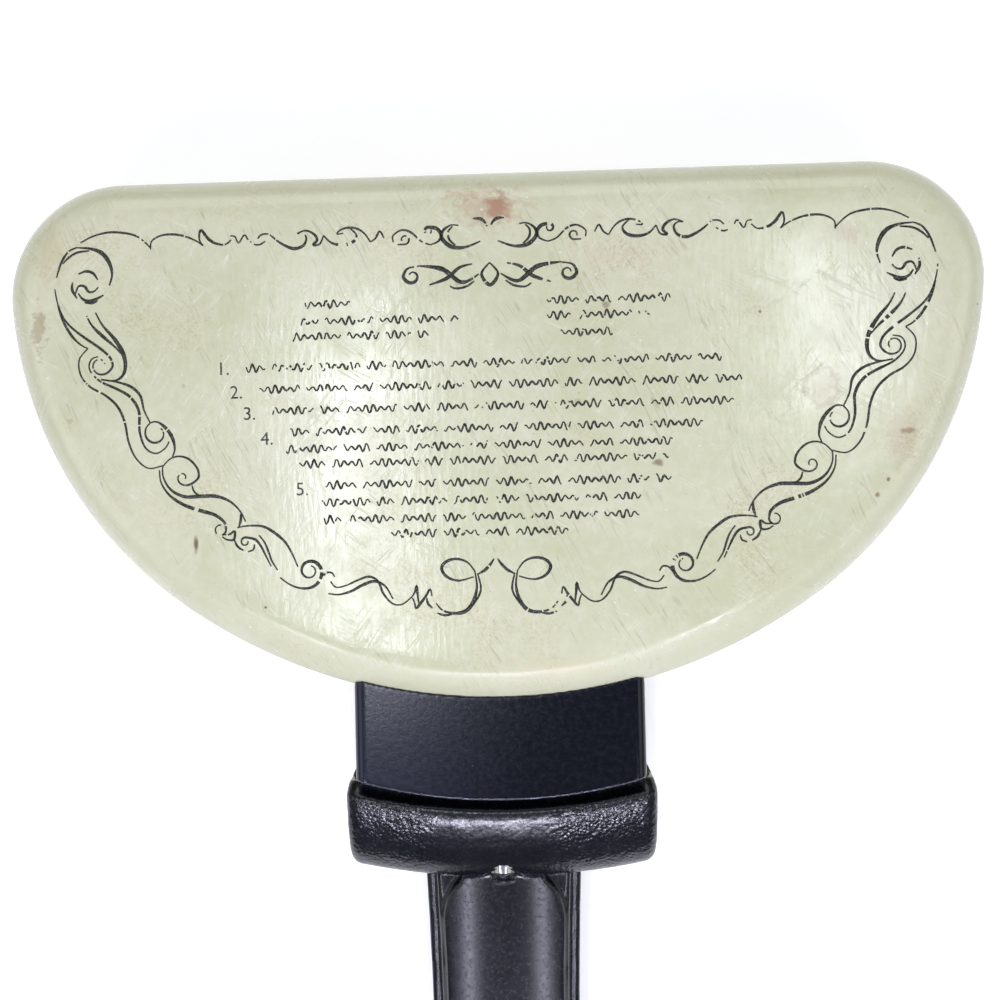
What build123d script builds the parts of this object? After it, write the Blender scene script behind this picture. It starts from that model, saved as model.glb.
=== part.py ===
"""Folding omelette pan: two half-moon aluminium pans hinged along their straight side, each with a
hood bracket and a black moulded handle. Modelled closed, lying on the lower pan's flat bottom.
Millimetres, +Z up, +Y towards the hinges, handles towards -Y, origin at the middle of the lower
pan's bottom. Handle pieces and rivets are drawn for the upper half and mirrored for the lower."""

from build123d import *
import os
from math import asin, atan2, cos, pi, radians, sin, sqrt, tan

# Pan, outline sizes at the rim; the turns say where the corner, side and front arcs meet
pan_width = 233.0
pan_depth = 128.0
corner_r = 29.0
corner_turn = radians(-4.66)
side_turn = radians(-54.45)
half_height = 30.0
wall = 1.6
wall_draft = 4.0
bottom_edge_r = 10.0
rim_gap = 0.4

# Clearances
seat_gap = 0.05
rivet_clearance = 0.05
pin_clearance = 0.05
knuckle_gap = 0.5
barrel_gap = 0.25
swing_gap = 0.3
handle_gap = 0.6
hood_clearance = 0.3
hood_roof_gap = 1.4
neck_gap = 1.3
screw_clearance = 0.3
washer_clearance = 0.3
boss_clearance = 0.3

# Hinges
hinge_spread = 126.0
leaf_width = 30.0
leaf_length = 15.0
leaf_t = 1.0
leaf_corner_r = 3.0
barrel_r = 1.8
centre_knuckle = 12.8
pin_r = 1.0
pin_head_r = 1.5
pin_head_t = 0.8
leaf_rivet_spread = 18.0
leaf_rivet_height = 9.5
leaf_rivet_r = 1.6
leaf_rivet_head_r = 2.8
leaf_rivet_head_t = 1.2
inner_head_share = 0.7

# Hood brackets
hood_width = 68.0
hood_drop = 4.2
hood_side = 10.5
hood_t = 1.2
hood_reach = 21.0
hood_edge_r = 122.0
hood_bend_r = 2.6
hood_back_width = 46.0
hood_back_edge = 1.5
hood_rivet_spread = 32.0
hood_rivet_r = 2.0
hood_rivet_head_r = 3.8
hood_rivet_head_t = 1.5

# Handles, reaches measured from the front of the rim
base_width = 73.5
base_reach = 42.4
neck_reach = 5.0
flare_reach = 21.5
base_edge_r = 3.0
roll_r = 13.0
grip_reach = 152.0
grip_start_width = 39.4
grip_waist_width = 36.2
grip_waist_reach = 92.0
grip_end_width = 39.0
grip_end_r = 15.0
ledge_top = 3.2
ledge_step = 2.8
ledge_edge_r = 1.0
body_top = 7.6
body_edge_r = 0.8
panel_step = 1.3
panel_edge = 8.4
panel_crown = 10.9
panel_arch_r = 14.0
panel_head_in = 2.8
hang_hole_r = 3.5
hang_hole_inset = 12.0
core_width = 22.0
core_length = 22.0
core_pitch = 25.5
core_depth = 4.5
core_corner_r = 2.0
core_count = 3
core_first_reach = 60.0

# Handle screws
screw_under_top = 9.4
screw_sunk = 1.0
screw_r = 2.0
screw_tip_reach = 3.0
screw_head_r = 3.3
screw_head_t = 2.5
screw_head_edge = 1.2
screw_slot_width = 0.9
screw_slot_depth = 1.1
washer_r = 3.9
washer_t = 0.8
scallop_r = 60.0
scallop_depth = 0.9
boss_r = 4.5
boss_reach = 11.0
boss_flange_r = 6.5
boss_flange_reach = 2.0

# Places worked out from the sizes; heights are measured from the plane between the halves
hinge_y = pan_depth / 2
front_y = -pan_depth / 2
mid_z = half_height + rim_gap / 2
rim_z = half_height + rim_gap
draft = radians(wall_draft)
axis_y = hinge_y + barrel_gap + barrel_r
hood_top = half_height + rim_gap / 2 - hood_drop
base_top = hood_top - hood_t - hood_roof_gap
neck_width = hood_width - 2 * (hood_t + neck_gap)
screw_height = base_top - screw_under_top
hood_back_low = screw_height - boss_flange_r - hood_back_edge
mid_plane = Plane.XY.offset(mid_z)
mating_plane = Plane.XY.offset(mid_z + handle_gap / 2)
radial = Plane(origin=(0, front_y, mid_z), x_dir=(1, 0, 0), z_dir=(0, -1, 0))
screw_line = Plane(origin=(0, front_y, mid_z + screw_height), x_dir=(1, 0, 0), z_dir=(0, -1, 0))
inside_pan = -2 * bottom_edge_r
backing = seat_gap + hood_t


def on_circle(centre, radius, angle):
    return (centre[0] + radius * cos(angle), centre[1] + radius * sin(angle))


def tangent_growths(across, along):
    """How much each arc's radius grows on the one before it, from the corner to the side and from
    the side to the front, so that all three are tangent and reach across and along from the corner."""
    turned = 1 + sin(corner_turn), 1 + sin(side_turn)
    scale = cos(corner_turn) * turned[1] - cos(side_turn) * turned[0]
    to_side = (across * turned[1] - cos(side_turn) * along) / scale
    to_front = (cos(corner_turn) * along - turned[0] * across) / scale
    return to_side, to_front


corner_c = (pan_width / 2 - corner_r, hinge_y - corner_r)
side_growth, front_growth = tangent_growths(corner_c[0], pan_depth - 2 * corner_r)
side_r = corner_r + side_growth
front_r = side_r + front_growth
side_c = on_circle(corner_c, -side_growth, corner_turn)
front_c = (0.0, front_y + front_r)


def pan_outline(inset):
    """Draws the half-moon outline, drawn in by inset, in the current line builder."""
    for centre, radius, start, end in (
        (front_c, front_r, -pi / 2, side_turn),
        (side_c, side_r, side_turn, corner_turn),
        (corner_c, corner_r, corner_turn, pi / 2),
    ):
        turns = (start, (start + end) / 2, end)
        ThreePointArc(*[on_circle(centre, radius - inset, turn) for turn in turns])
    Line((corner_c[0], hinge_y - inset), (0, hinge_y - inset))
    mirror(about=Plane.YZ)


def pan_form(grow):
    """Solid half-moon form of the upper half, from the rim up, grown all round by a distance."""
    with BuildPart() as form:
        with BuildSketch(Plane.XY.offset(rim_z)):
            with BuildLine():
                pan_outline(-grow / cos(draft))
            make_face()
        extrude(amount=half_height + grow, taper=wall_draft)
        fillet(form.faces().sort_by(Axis.Z)[-1].edges(), bottom_edge_r + grow)
    return form.part


def straight_wall_plane(x, height):
    """Plane on the straight wall's outer face at a height over the rim, Z outwards, Y up the wall."""
    spot = (x, hinge_y - height * tan(draft), rim_z + height)
    return Plane(origin=spot, x_dir=(-1, 0, 0), z_dir=(0, cos(draft), sin(draft)))


def front_wall_plane(x, height):
    """Plane on the bowed wall's outer face at a height over the rim, Z outwards."""
    radius = front_r - height * tan(draft)
    turn = atan2(-sqrt(radius**2 - x**2), x)
    spot = on_circle(front_c, radius, turn) + (rim_z + height,)
    outwards = (cos(turn) * cos(draft), sin(turn) * cos(draft), sin(draft))
    return Plane(origin=spot, x_dir=(-sin(turn), cos(turn), 0), z_dir=outwards)


def leaf_rivet_planes(hinge_x):
    return [
        straight_wall_plane(hinge_x + side * leaf_rivet_spread / 2, leaf_rivet_height) for side in (-1, 1)
    ]


hinge_xs = {"left": -hinge_spread / 2, "right": hinge_spread / 2}
hood_rivet_planes = [
    front_wall_plane(side * hood_rivet_spread / 2, screw_height - rim_gap / 2) for side in (-1, 1)
]


def section_through(spot):
    """Plane that holds the spot's axis: its Y runs along the axis, its X away from it."""
    return Plane(origin=spot.origin, x_dir=spot.x_dir, z_dir=spot.x_dir.cross(spot.z_dir))


def dome(edge_r, base, rise):
    """Section of a shallow dome, from its edge to its crown; a negative rise points down."""
    ball = (edge_r**2 + rise**2) / (2 * abs(rise))
    half_turn = asin(edge_r / ball) / 2
    drop = ball * (1 - cos(half_turn)) * (1 if rise > 0 else -1)
    ThreePointArc((edge_r, base), (ball * sin(half_turn), base + rise - drop), (0, base + rise))


def holes(planes, radius):
    """Cuts a hole through the current part on each plane, as deep as a wall and a plate need."""
    for spot in planes:
        with BuildSketch(spot.offset(-2 * wall)) as hole:
            Circle(radius)
        extrude(hole.sketch, amount=2 * wall + 2 * hood_t, mode=Mode.SUBTRACT)


def rivets(planes, shank_r, head_r, head_t, plate_t):
    """Rivets that hold a plate on the wall's outer face: a domed head outside, a flatter one inside."""
    low = -wall - seat_gap
    high = plate_t + 2 * seat_gap
    with BuildPart() as made:
        for spot in planes:
            with BuildSketch(section_through(spot)):
                with BuildLine():
                    dome(head_r, low, -head_t * inner_head_share)
                    Line((0, low - head_t * inner_head_share), (0, high + head_t))
                    dome(head_r, high, head_t)
                    Polyline((head_r, high), (shank_r, high), (shank_r, low), (head_r, low))
                make_face()
            revolve(axis=Axis(spot.origin, spot.z_dir))
    return made


def mirrored(made):
    """The lower half's copy of an upper piece."""
    with BuildPart() as twin:
        mirror(made.part, about=mid_plane)
    return twin


# Pan of the upper half: an even wall, drilled for the hinge and bracket rivets
with BuildPart() as upper_pan:
    add(pan_form(0))
    add(pan_form(-wall), mode=Mode.SUBTRACT)
    for hinge_x in hinge_xs.values():
        holes(leaf_rivet_planes(hinge_x), leaf_rivet_r + rivet_clearance)
    holes(hood_rivet_planes, hood_rivet_r + rivet_clearance)


def knuckle_spans(role):
    """Lengths along X of the knuckles on the upper or the lower leaf, from the hinge's middle."""
    inner = centre_knuckle / 2
    outer = (inner + knuckle_gap, leaf_width / 2)
    return [(-inner, inner)] if role == "upper" else [(-outer[1], -outer[0]), outer]


def hinge_leaf(hinge_x, role):
    """Leaf riveted on the straight wall, with its rolled knuckles; drawn upwards, then turned down."""
    others = knuckle_spans("lower" if role == "upper" else "upper")
    foot = seat_gap + rim_gap
    barrel_line = Plane(origin=(hinge_x, axis_y, mid_z), x_dir=(0, 1, 0), z_dir=(1, 0, 0))
    with BuildPart() as leaf:
        with BuildSketch(straight_wall_plane(hinge_x, 0).offset(seat_gap)) as plate:
            with Locations((0, leaf_length / 2 + foot / 2)):
                Rectangle(leaf_width, leaf_length - foot / 2)
            fillet(plate.vertices().group_by(Axis.Y)[-1], leaf_corner_r)
        extrude(amount=leaf_t)
        for start, end in others:
            with BuildSketch(barrel_line.offset(start - knuckle_gap)):
                Circle(barrel_r + swing_gap)
            extrude(amount=end - start + 2 * knuckle_gap, mode=Mode.SUBTRACT)
        for start, end in knuckle_spans(role):
            with BuildSketch(barrel_line.offset(start)):
                Circle(barrel_r)
                with Locations((-barrel_r - barrel_gap + 2 * seat_gap, foot)):
                    Rectangle(barrel_r + barrel_gap - 2 * seat_gap, barrel_r - foot, align=Align.MIN)
            extrude(amount=end - start)
            with BuildSketch(barrel_line.offset(start)):
                Circle(pin_r + pin_clearance)
            extrude(amount=end - start, mode=Mode.SUBTRACT)
        holes(leaf_rivet_planes(hinge_x), leaf_rivet_r + rivet_clearance)
    return leaf if role == "upper" else mirrored(leaf)


def hinge_pin(hinge_x):
    """Headed pin through the knuckles of both leaves."""
    head_start = leaf_width / 2 + 2 * seat_gap
    with BuildPart() as pin:
        with BuildSketch(Plane(origin=(hinge_x, axis_y, mid_z), x_dir=(0, 1, 0), z_dir=(0, 0, 1))):
            with BuildLine():
                Line((0, head_start + pin_head_t), (0, -head_start - pin_head_t))
                for side in (-1, 1):
                    dome(pin_head_r, side * head_start, side * pin_head_t)
                    Line((pin_head_r, side * head_start), (pin_r, side * head_start))
                Line((pin_r, -head_start), (pin_r, head_start))
            make_face()
        revolve(axis=Axis((hinge_x, axis_y, mid_z), (1, 0, 0)))
    return pin


# Hood bracket: a bent steel plate over the handle's neck, with a back that is riveted to the pan
with BuildPart() as bracket_back:
    with BuildSketch(radial.offset(inside_pan)):
        with Locations((0, hood_back_low)):
            back_height = hood_top - hood_t / 2 - hood_back_low
            Rectangle(hood_back_width, back_height, align=(Align.CENTER, Align.MIN))
    extrude(amount=hood_reach - inside_pan)
    add(pan_form(backing), mode=Mode.INTERSECT)

with BuildPart() as upper_bracket:
    with BuildSketch(radial.offset(inside_pan)) as outside:
        with Locations((0, hood_top)):
            Rectangle(hood_width, hood_side, align=(Align.CENTER, Align.MAX))
        fillet(outside.vertices().group_by(Axis.Y)[-1], hood_bend_r)
    extrude(amount=hood_reach - inside_pan)
    with BuildSketch(radial.offset(inside_pan)) as inside:
        with Locations((0, hood_top - hood_t)):
            Rectangle(hood_width - 2 * hood_t, hood_side, align=(Align.CENTER, Align.MAX))
        fillet(inside.vertices().group_by(Axis.Y)[-1], hood_bend_r - hood_t)
    extrude(amount=hood_reach - inside_pan, mode=Mode.SUBTRACT)
    with BuildSketch(mid_plane):
        with Locations((0, front_y - hood_reach + hood_edge_r)):
            Circle(hood_edge_r)
    extrude(amount=2 * half_height, mode=Mode.INTERSECT)
    add(bracket_back.part)
    add(pan_form(seat_gap), mode=Mode.SUBTRACT)
    holes(hood_rivet_planes, hood_rivet_r + rivet_clearance)


def turned_on_screw_line(profile):
    """Turns a section about the handle screw's line; the section's Y is the reach from the rim."""
    with BuildPart() as turned:
        with BuildSketch(section_through(screw_line)):
            with BuildLine():
                profile()
            make_face()
        revolve(axis=Axis(screw_line.origin, screw_line.z_dir))
    return turned


head_reach = base_reach - screw_sunk - screw_head_t
seat_reach = head_reach - washer_t - 2 * seat_gap


def screw_profile():
    shoulder = head_reach + screw_head_edge
    dome(screw_head_r, shoulder, screw_head_t - screw_head_edge)
    Polyline(
        (0, head_reach + screw_head_t),
        (0, screw_tip_reach),
        (screw_r, screw_tip_reach),
        (screw_r, head_reach),
        (screw_head_r, head_reach),
        (screw_head_r, shoulder),
    )


def washer_profile():
    inner = screw_r + screw_clearance
    low = seat_reach + seat_gap
    Polyline((inner, low), (washer_r, low), (washer_r, low + washer_t), (inner, low + washer_t), (inner, low))


def boss_profile():
    inner = screw_r + rivet_clearance
    Polyline(
        (inner, -boss_flange_reach),
        (boss_flange_r, -boss_flange_reach),
        (boss_flange_r, boss_flange_reach),
        (boss_r, boss_flange_reach),
        (boss_r, boss_reach),
        (inner, boss_reach),
        (inner, -boss_flange_reach),
    )


with BuildPart() as upper_screw:
    add(turned_on_screw_line(screw_profile).part)
    with BuildSketch(screw_line.offset(head_reach + screw_head_t - screw_slot_depth)):
        Rectangle(screw_slot_width, 2 * screw_head_r)
    extrude(amount=screw_head_t, mode=Mode.SUBTRACT)

upper_washer = turned_on_screw_line(washer_profile)

# Threaded boss staked on the bracket's back; its foot follows the plate
with BuildPart() as upper_boss:
    add(turned_on_screw_line(boss_profile).part)
    add(pan_form(backing + seat_gap), mode=Mode.SUBTRACT)


def base_plan():
    """Half of the base's outline from above: narrow under the hood, full width at the roll."""
    Polyline(
        (0, front_y - inside_pan),
        (neck_width / 2, front_y - inside_pan),
        (neck_width / 2, front_y - neck_reach),
    )
    Spline(
        (neck_width / 2, front_y - neck_reach),
        (base_width / 2, front_y - flare_reach),
        tangents=((0, -1), (0, -1)),
    )
    Polyline(
        (base_width / 2, front_y - flare_reach),
        (base_width / 2, front_y - 2 * base_reach),
        (0, front_y - 2 * base_reach),
    )
    mirror(about=Plane.YZ)


def base_section():
    """Section of the base along the handle: flat top that rolls over to an upright outer face."""
    low = mid_z + handle_gap / 2
    high = mid_z + base_top
    outer = front_y - base_reach
    bend = on_circle((outer + roll_r, high - roll_r), roll_r, 3 * pi / 4)
    Polyline((outer + roll_r, high), (front_y - inside_pan, high), (front_y - inside_pan, low), (outer, low))
    Line((outer, low), (outer, high - roll_r))
    ThreePointArc((outer, high - roll_r), bend, (outer + roll_r, high))


def grip_plan(step):
    """Grip's outline from above as a face, drawn in by step: waisted, with rounded end corners."""
    start = (grip_start_width / 2 - step, front_y - base_reach + roll_r / 2)
    waist = (grip_waist_width / 2 - step, front_y - grip_waist_reach)
    end = (grip_end_width / 2 - step, front_y - grip_reach + step)
    with BuildSketch(mating_plane) as plan:
        with BuildLine():
            Line((0, start[1]), start)
            ThreePointArc(start, waist, end)
            Line(end, (0, end[1]))
            mirror(about=Plane.YZ)
        make_face()
        fillet(plan.vertices().group_by(Axis.Y)[0], grip_end_r - step)
    return plan


def grip_layer(step, top, edge_r):
    """One layer of the grip, from the mating face up to a height, with its upper edge rounded."""
    plan = grip_plan(step)
    with BuildPart() as layer:
        extrude(plan.sketch, amount=top - handle_gap / 2, dir=(0, 0, 1))
        upper_edges = layer.faces().sort_by(Axis.Z)[-1].edges().sort_by(Axis.Y)[:-1]
        fillet(upper_edges, edge_r)
    return layer.part


def grip_panel():
    """Crowned panel on the grip, with an arched head towards the roll."""
    step = ledge_step + panel_step
    half = grip_start_width / 2 - step
    with BuildSketch(mating_plane) as plan:
        add(grip_plan(step).sketch_local)
        with Locations((0, front_y - base_reach + panel_head_in)):
            Rectangle(grip_start_width, grip_reach, align=(Align.CENTER, Align.MAX), mode=Mode.INTERSECT)
        fillet(plan.vertices().group_by(Axis.Y)[-1], panel_arch_r)
    with BuildPart() as panel:
        extrude(plan.sketch, amount=panel_crown, dir=(0, 0, 1))
        with BuildSketch(radial):
            with BuildLine():
                ThreePointArc((-half, panel_edge), (0, panel_crown), (half, panel_edge))
                Polyline((half, panel_edge), (half, 0), (-half, 0), (-half, panel_edge))
            make_face()
        extrude(amount=grip_reach, dir=radial.z_dir, mode=Mode.INTERSECT)
    return panel.part


# Handle: one moulding with the base, the roll and the grip
hood_inner_x = hood_width / 2 - hood_t - hood_clearance
hood_side_reach = hood_reach - hood_edge_r + sqrt(hood_edge_r**2 - hood_inner_x**2) + hood_clearance
with BuildPart() as upper_handle:
    with BuildSketch(Plane.YZ):
        with BuildLine():
            base_section()
        make_face()
    revolve(axis=Axis((front_c[0], front_c[1], 0), (0, 0, 1)))
    with BuildSketch(mid_plane):
        with BuildLine():
            base_plan()
        make_face()
    extrude(amount=2 * half_height, dir=(0, 0, 1), mode=Mode.INTERSECT)
    side_edges = [
        edge
        for edge in upper_handle.edges()
        if abs(abs(edge.center().X) - base_width / 2) < 0.01 and edge.center().Z > mid_z + handle_gap
    ]
    fillet(side_edges, base_edge_r)
    for side in (-1, 1):
        with BuildSketch(radial.offset(inside_pan)):
            with Locations((side * hood_inner_x, hood_top - hood_side - hood_clearance)):
                Rectangle(base_width, half_height, align=(Align.MIN if side > 0 else Align.MAX, Align.MIN))
        extrude(amount=hood_side_reach - inside_pan, mode=Mode.SUBTRACT)
    add(grip_layer(0, ledge_top, ledge_edge_r))
    add(grip_layer(ledge_step, body_top, body_edge_r))
    add(grip_panel())
    add(pan_form(backing + hood_clearance), mode=Mode.SUBTRACT)
    for spot in hood_rivet_planes:
        with BuildSketch(spot):
            Circle(hood_rivet_head_r + hood_clearance)
        extrude(amount=backing + hood_rivet_head_t + hood_clearance, mode=Mode.SUBTRACT)
    with BuildSketch(screw_line.offset(inside_pan)):
        Circle(boss_flange_r + boss_clearance)
    extrude(amount=boss_flange_reach + boss_clearance - inside_pan, mode=Mode.SUBTRACT)
    with BuildSketch(screw_line.offset(inside_pan)):
        Circle(boss_r + boss_clearance)
    extrude(amount=boss_reach + boss_clearance - inside_pan, mode=Mode.SUBTRACT)
    with BuildSketch(screw_line):
        Circle(screw_r + screw_clearance)
    extrude(amount=base_reach, mode=Mode.SUBTRACT)
    with BuildSketch(screw_line.offset(seat_reach)):
        Circle(washer_r + washer_clearance)
    extrude(amount=base_reach, mode=Mode.SUBTRACT)
    with BuildSketch(Plane.XY.offset(mid_z + panel_crown)):
        with Locations((0, front_y - base_reach + scallop_depth - scallop_r)):
            Circle(scallop_r)
    extrude(amount=half_height, mode=Mode.SUBTRACT)
    with BuildSketch(mid_plane):
        with Locations((0, front_y - grip_reach + hang_hole_inset)):
            Circle(hang_hole_r)
    extrude(amount=half_height, mode=Mode.SUBTRACT)
    for index in range(core_count):
        with BuildSketch(mid_plane):
            with Locations((0, front_y - core_first_reach - index * core_pitch)):
                RectangleRounded(core_width, core_length, core_corner_r)
        extrude(amount=core_depth + handle_gap / 2, mode=Mode.SUBTRACT)


def write(made, name):
    made.part.label = name
    export_step(made.part, f"parts/{name}.step")


os.makedirs("parts", exist_ok=True)
paired = {
    "pan": upper_pan,
    "handle_bracket": upper_bracket,
    "bracket_rivets": rivets(
        hood_rivet_planes, hood_rivet_r, hood_rivet_head_r, hood_rivet_head_t, hood_t
    ),
    "bracket_boss": upper_boss,
    "handle": upper_handle,
    "handle_screw": upper_screw,
    "screw_washer": upper_washer,
}
for side, hinge_x in hinge_xs.items():
    paired[f"hinge_rivets_{side}"] = rivets(
        leaf_rivet_planes(hinge_x), leaf_rivet_r, leaf_rivet_head_r, leaf_rivet_head_t, leaf_t
    )
    write(hinge_leaf(hinge_x, "upper"), f"upper_hinge_leaf_{side}")
    write(hinge_leaf(hinge_x, "lower"), f"lower_hinge_leaf_{side}")
    write(hinge_pin(hinge_x), f"hinge_pin_{side}")
for name, made in paired.items():
    write(made, f"upper_{name}")
    write(mirrored(made), f"lower_{name}")
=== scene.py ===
# Folding omelette pan: finishes, softened mouldings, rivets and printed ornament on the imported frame
from math import acos, cos, pi, radians, sin, sqrt, tan

import bmesh
import bpy
import numpy as np
from mathutils import Matrix, Vector, noise


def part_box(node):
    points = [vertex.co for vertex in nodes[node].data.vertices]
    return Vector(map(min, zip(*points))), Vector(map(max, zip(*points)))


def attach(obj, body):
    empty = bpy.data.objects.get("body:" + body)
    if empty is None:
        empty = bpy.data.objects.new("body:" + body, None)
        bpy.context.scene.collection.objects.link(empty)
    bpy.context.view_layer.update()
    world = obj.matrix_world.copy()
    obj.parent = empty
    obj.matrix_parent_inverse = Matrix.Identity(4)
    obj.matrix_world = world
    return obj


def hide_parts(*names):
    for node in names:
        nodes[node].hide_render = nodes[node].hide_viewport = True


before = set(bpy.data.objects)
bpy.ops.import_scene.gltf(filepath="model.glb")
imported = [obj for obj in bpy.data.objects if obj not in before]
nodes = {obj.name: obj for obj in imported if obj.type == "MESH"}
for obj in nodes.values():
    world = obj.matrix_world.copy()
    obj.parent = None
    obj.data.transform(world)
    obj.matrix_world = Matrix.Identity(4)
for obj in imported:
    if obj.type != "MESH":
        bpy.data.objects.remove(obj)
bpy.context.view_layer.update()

MM = 0.001
HALVES = {"upper": 1, "lower": -1}

# Sizes of the pan's section and outline, in millimetres; the overall ones are read from the frame
pan_low, pan_high = (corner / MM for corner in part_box("upper_pan"))
PAN_WIDTH = pan_high.x - pan_low.x
HINGE_Y = pan_high.y
FRONT_Y = pan_low.y
RIM_Z = pan_low.z
FACE_Z = pan_high.z
MID_Z = FACE_Z / 2
HALF_HEIGHT = FACE_Z - RIM_Z
CORNER_R = 29.0
CORNER_TURN = radians(-4.66)
SIDE_TURN = radians(-54.45)
WALL = 1.6
DRAFT = radians(4)
BOTTOM_EDGE_R = 10.0
LIP_R = 0.55
ARC_STEP = 1.7

# Slow waves in the pan's flat: how far they sink it, and their lengths, in millimetres
FACE_SINK = 0.06
WAVE_SINK = 0.10
ACROSS_WAVE = 17
ALONG_WAVE = 13
SLANT_WAVE = 31

# How the pan's wall is divided, and how far its finishes reach, in millimetres or shares of the half's depth
FLAT_RUN = 60
BEND_STEPS = 16
INNER_BEND_STEPS = 14
LIP_STEPS = 5
OUTER_WALL_SHARES = (0.25, 0.5, 0.75)
INNER_WALL_SHARES = (0.3, 0.6, 0.85)
FLAT_CENTRE = Vector((0, 6))
FLAT_RINGS = 26
WAVES_FROM = 0.8
WAVES_FADE = 0.12
LIP_WEAR = 1.2
BEND_DROP = 0.15
BEND_FADE = 0.5
WALL_FADE = 12

# Hood and roll, in millimetres: reaches from the pan's bowed front, and falls from the roll's crest
HOOD_REACH = 21.0
HOOD_EDGE_R = 122.0
ROLL_START = 6.0
ROLL_END = 43.0
CREST_REACH = 24.5
CREST_SPREAD = 8.0
CREST_FALL = 4.0
TUCK_SPREAD = 2.0
TUCK_FALL = 2.4
# Width and fade of the painted shade on the roll just under the hood's edge
HOOD_SHADE_WIDTH = 3.4
HOOD_SHADE_FADE = 1.2
EDGE_WEAR = 1.2

# Grip panel: half width, heights over the middle plane, and how far from its arc facets and groove may lie
PANEL_HALF = 15.6
PANEL_EDGE = 8.4
PANEL_CROWN = 10.9
FACET_DEPTH = 0.6
FACET_FACING = 0.7
GROOVE_HALF = 4.5
GROOVE_DEPTH = 1.8
GROOVE_FACING = 0.2
FACING_FADE = 0.2
DEPTH_FADE = 0.1

# Blisters of the roll's skin, their scale as features to a millimetre, and the smoother stretch in its middle
SKIN_FADE = 2
BLISTER_LIFT = 0.05
BLISTER_SCALE = 0.30
PIMPLE_LIFT = 0.03
PIMPLE_SCALE = 0.80
SKIN_SINK = 0.03
LEAST_PITTED = 0.2
SMOOTH_MIDDLE = -2.5
SMOOTH_HALF = 12
SMOOTH_FADE = 6

# Softening of each kind of piece, as its grid in millimetres and the rounds of smoothing
SOFT_MOULDING = (0.50, 5)
SOFT_HOOD = (0.34, 4)
SOFT_LEAF = (0.24, 3)

# Camera, found from the pan's outline in the photograph; heights and places in millimetres
EYE = Vector((2.97, -20.98, 360.4))
EYE_TURNS = {"Z": -0.0217, "X": 0.0189, "Y": 0.0445}
LENS = 46.97
SHIFT = 0.05


def on_circle(centre, radius, turn):
    return Vector((centre[0] + radius * cos(turn), centre[1] + radius * sin(turn)))


def tangent_radii():
    """Side and front radii that make the corner, side and front arcs tangent."""
    across = PAN_WIDTH / 2 - CORNER_R
    along = HINGE_Y - FRONT_Y - 2 * CORNER_R
    turned = 1 + sin(CORNER_TURN), 1 + sin(SIDE_TURN)
    scale = cos(CORNER_TURN) * turned[1] - cos(SIDE_TURN) * turned[0]
    to_side = (across * turned[1] - cos(SIDE_TURN) * along) / scale
    to_front = (cos(CORNER_TURN) * along - turned[0] * across) / scale
    return CORNER_R + to_side, CORNER_R + to_side + to_front


SIDE_R, FRONT_R = tangent_radii()
CORNER_C = Vector((PAN_WIDTH / 2 - CORNER_R, HINGE_Y - CORNER_R))
SIDE_C = on_circle(CORNER_C, CORNER_R - SIDE_R, CORNER_TURN)
FRONT_C = Vector((0, FRONT_Y + FRONT_R))


def pan_outline(inset):
    """Points of the half-moon outline, drawn in by inset, counterclockwise from the front's middle."""
    half = []
    for centre, radius, start, end in (
        (FRONT_C, FRONT_R, -pi / 2, SIDE_TURN),
        (SIDE_C, SIDE_R, SIDE_TURN, CORNER_TURN),
        (CORNER_C, CORNER_R, CORNER_TURN, pi / 2),
    ):
        count = round(radius * (end - start) / ARC_STEP)
        turns = [start + (end - start) * index / count for index in range(count)]
        half += [on_circle(centre, radius - inset, turn) for turn in turns]
    corner_end = Vector((CORNER_C.x, HINGE_Y - inset))
    count = round(CORNER_C.x / ARC_STEP)
    half += [corner_end - Vector((CORNER_C.x * index / count, 0)) for index in range(count + 1)]
    return half + [Vector((-point.x, point.y)) for point in reversed(half[1:-1])]


def corner_arc(before, corner, after, radius, steps):
    """Points of a rounded corner between two straight runs of a section."""
    to_before = (before - corner).normalized()
    to_after = (after - corner).normalized()
    half_angle = acos(to_before.dot(to_after)) / 2
    centre = corner + (to_before + to_after).normalized() * radius / sin(half_angle)
    start = corner + to_before * radius / tan(half_angle) - centre
    swing = pi - 2 * half_angle
    sign = 1 if start.x * to_after.y - start.y * to_after.x > 0 else -1
    return [centre + Matrix.Rotation(sign * swing * index / steps, 2) @ start for index in range(steps + 1)]


def pan_section():
    """The wall's outside, lip and inside as (inset, height over the rim), from flat to flat."""
    slope = tan(DRAFT)
    inner_rim = WALL / cos(DRAFT)
    inner_top = HALF_HEIGHT - WALL
    outer = Vector((HALF_HEIGHT * slope, HALF_HEIGHT))
    inner = Vector((inner_rim + inner_top * slope, inner_top))
    lip = Vector((0, 0)), Vector((inner_rim, 0))
    flat = Vector((FLAT_RUN, 0))
    outside = corner_arc(outer + flat, outer, lip[0], BOTTOM_EDGE_R, BEND_STEPS)
    outside += [outside[-1].lerp(lip[0], share) for share in OUTER_WALL_SHARES]
    outside += corner_arc(outer, lip[0], lip[1], LIP_R, LIP_STEPS)
    inside = corner_arc(lip[0], lip[1], inner, LIP_R, LIP_STEPS)
    inner_bend = corner_arc(lip[1], inner, inner + flat, BOTTOM_EDGE_R - WALL, INNER_BEND_STEPS)
    inside += [lip[1].lerp(inner_bend[0], share) for share in INNER_WALL_SHARES]
    return outside, inside + inner_bend


def face_drop(x, y):
    """How far the pan's flat lies under its highest plane, from slow waves in the sheet."""
    wave = sin(x / ACROSS_WAVE + 0.6) * sin(y / ALONG_WAVE + 1.1) + 0.6 * sin((x + 2 * y) / SLANT_WAVE)
    return FACE_SINK + WAVE_SINK * (0.5 + wave / 3.2)


def linked(name, data):
    made = bpy.data.objects.new(name, data)
    bpy.context.scene.collection.objects.link(made)
    return made


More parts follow.
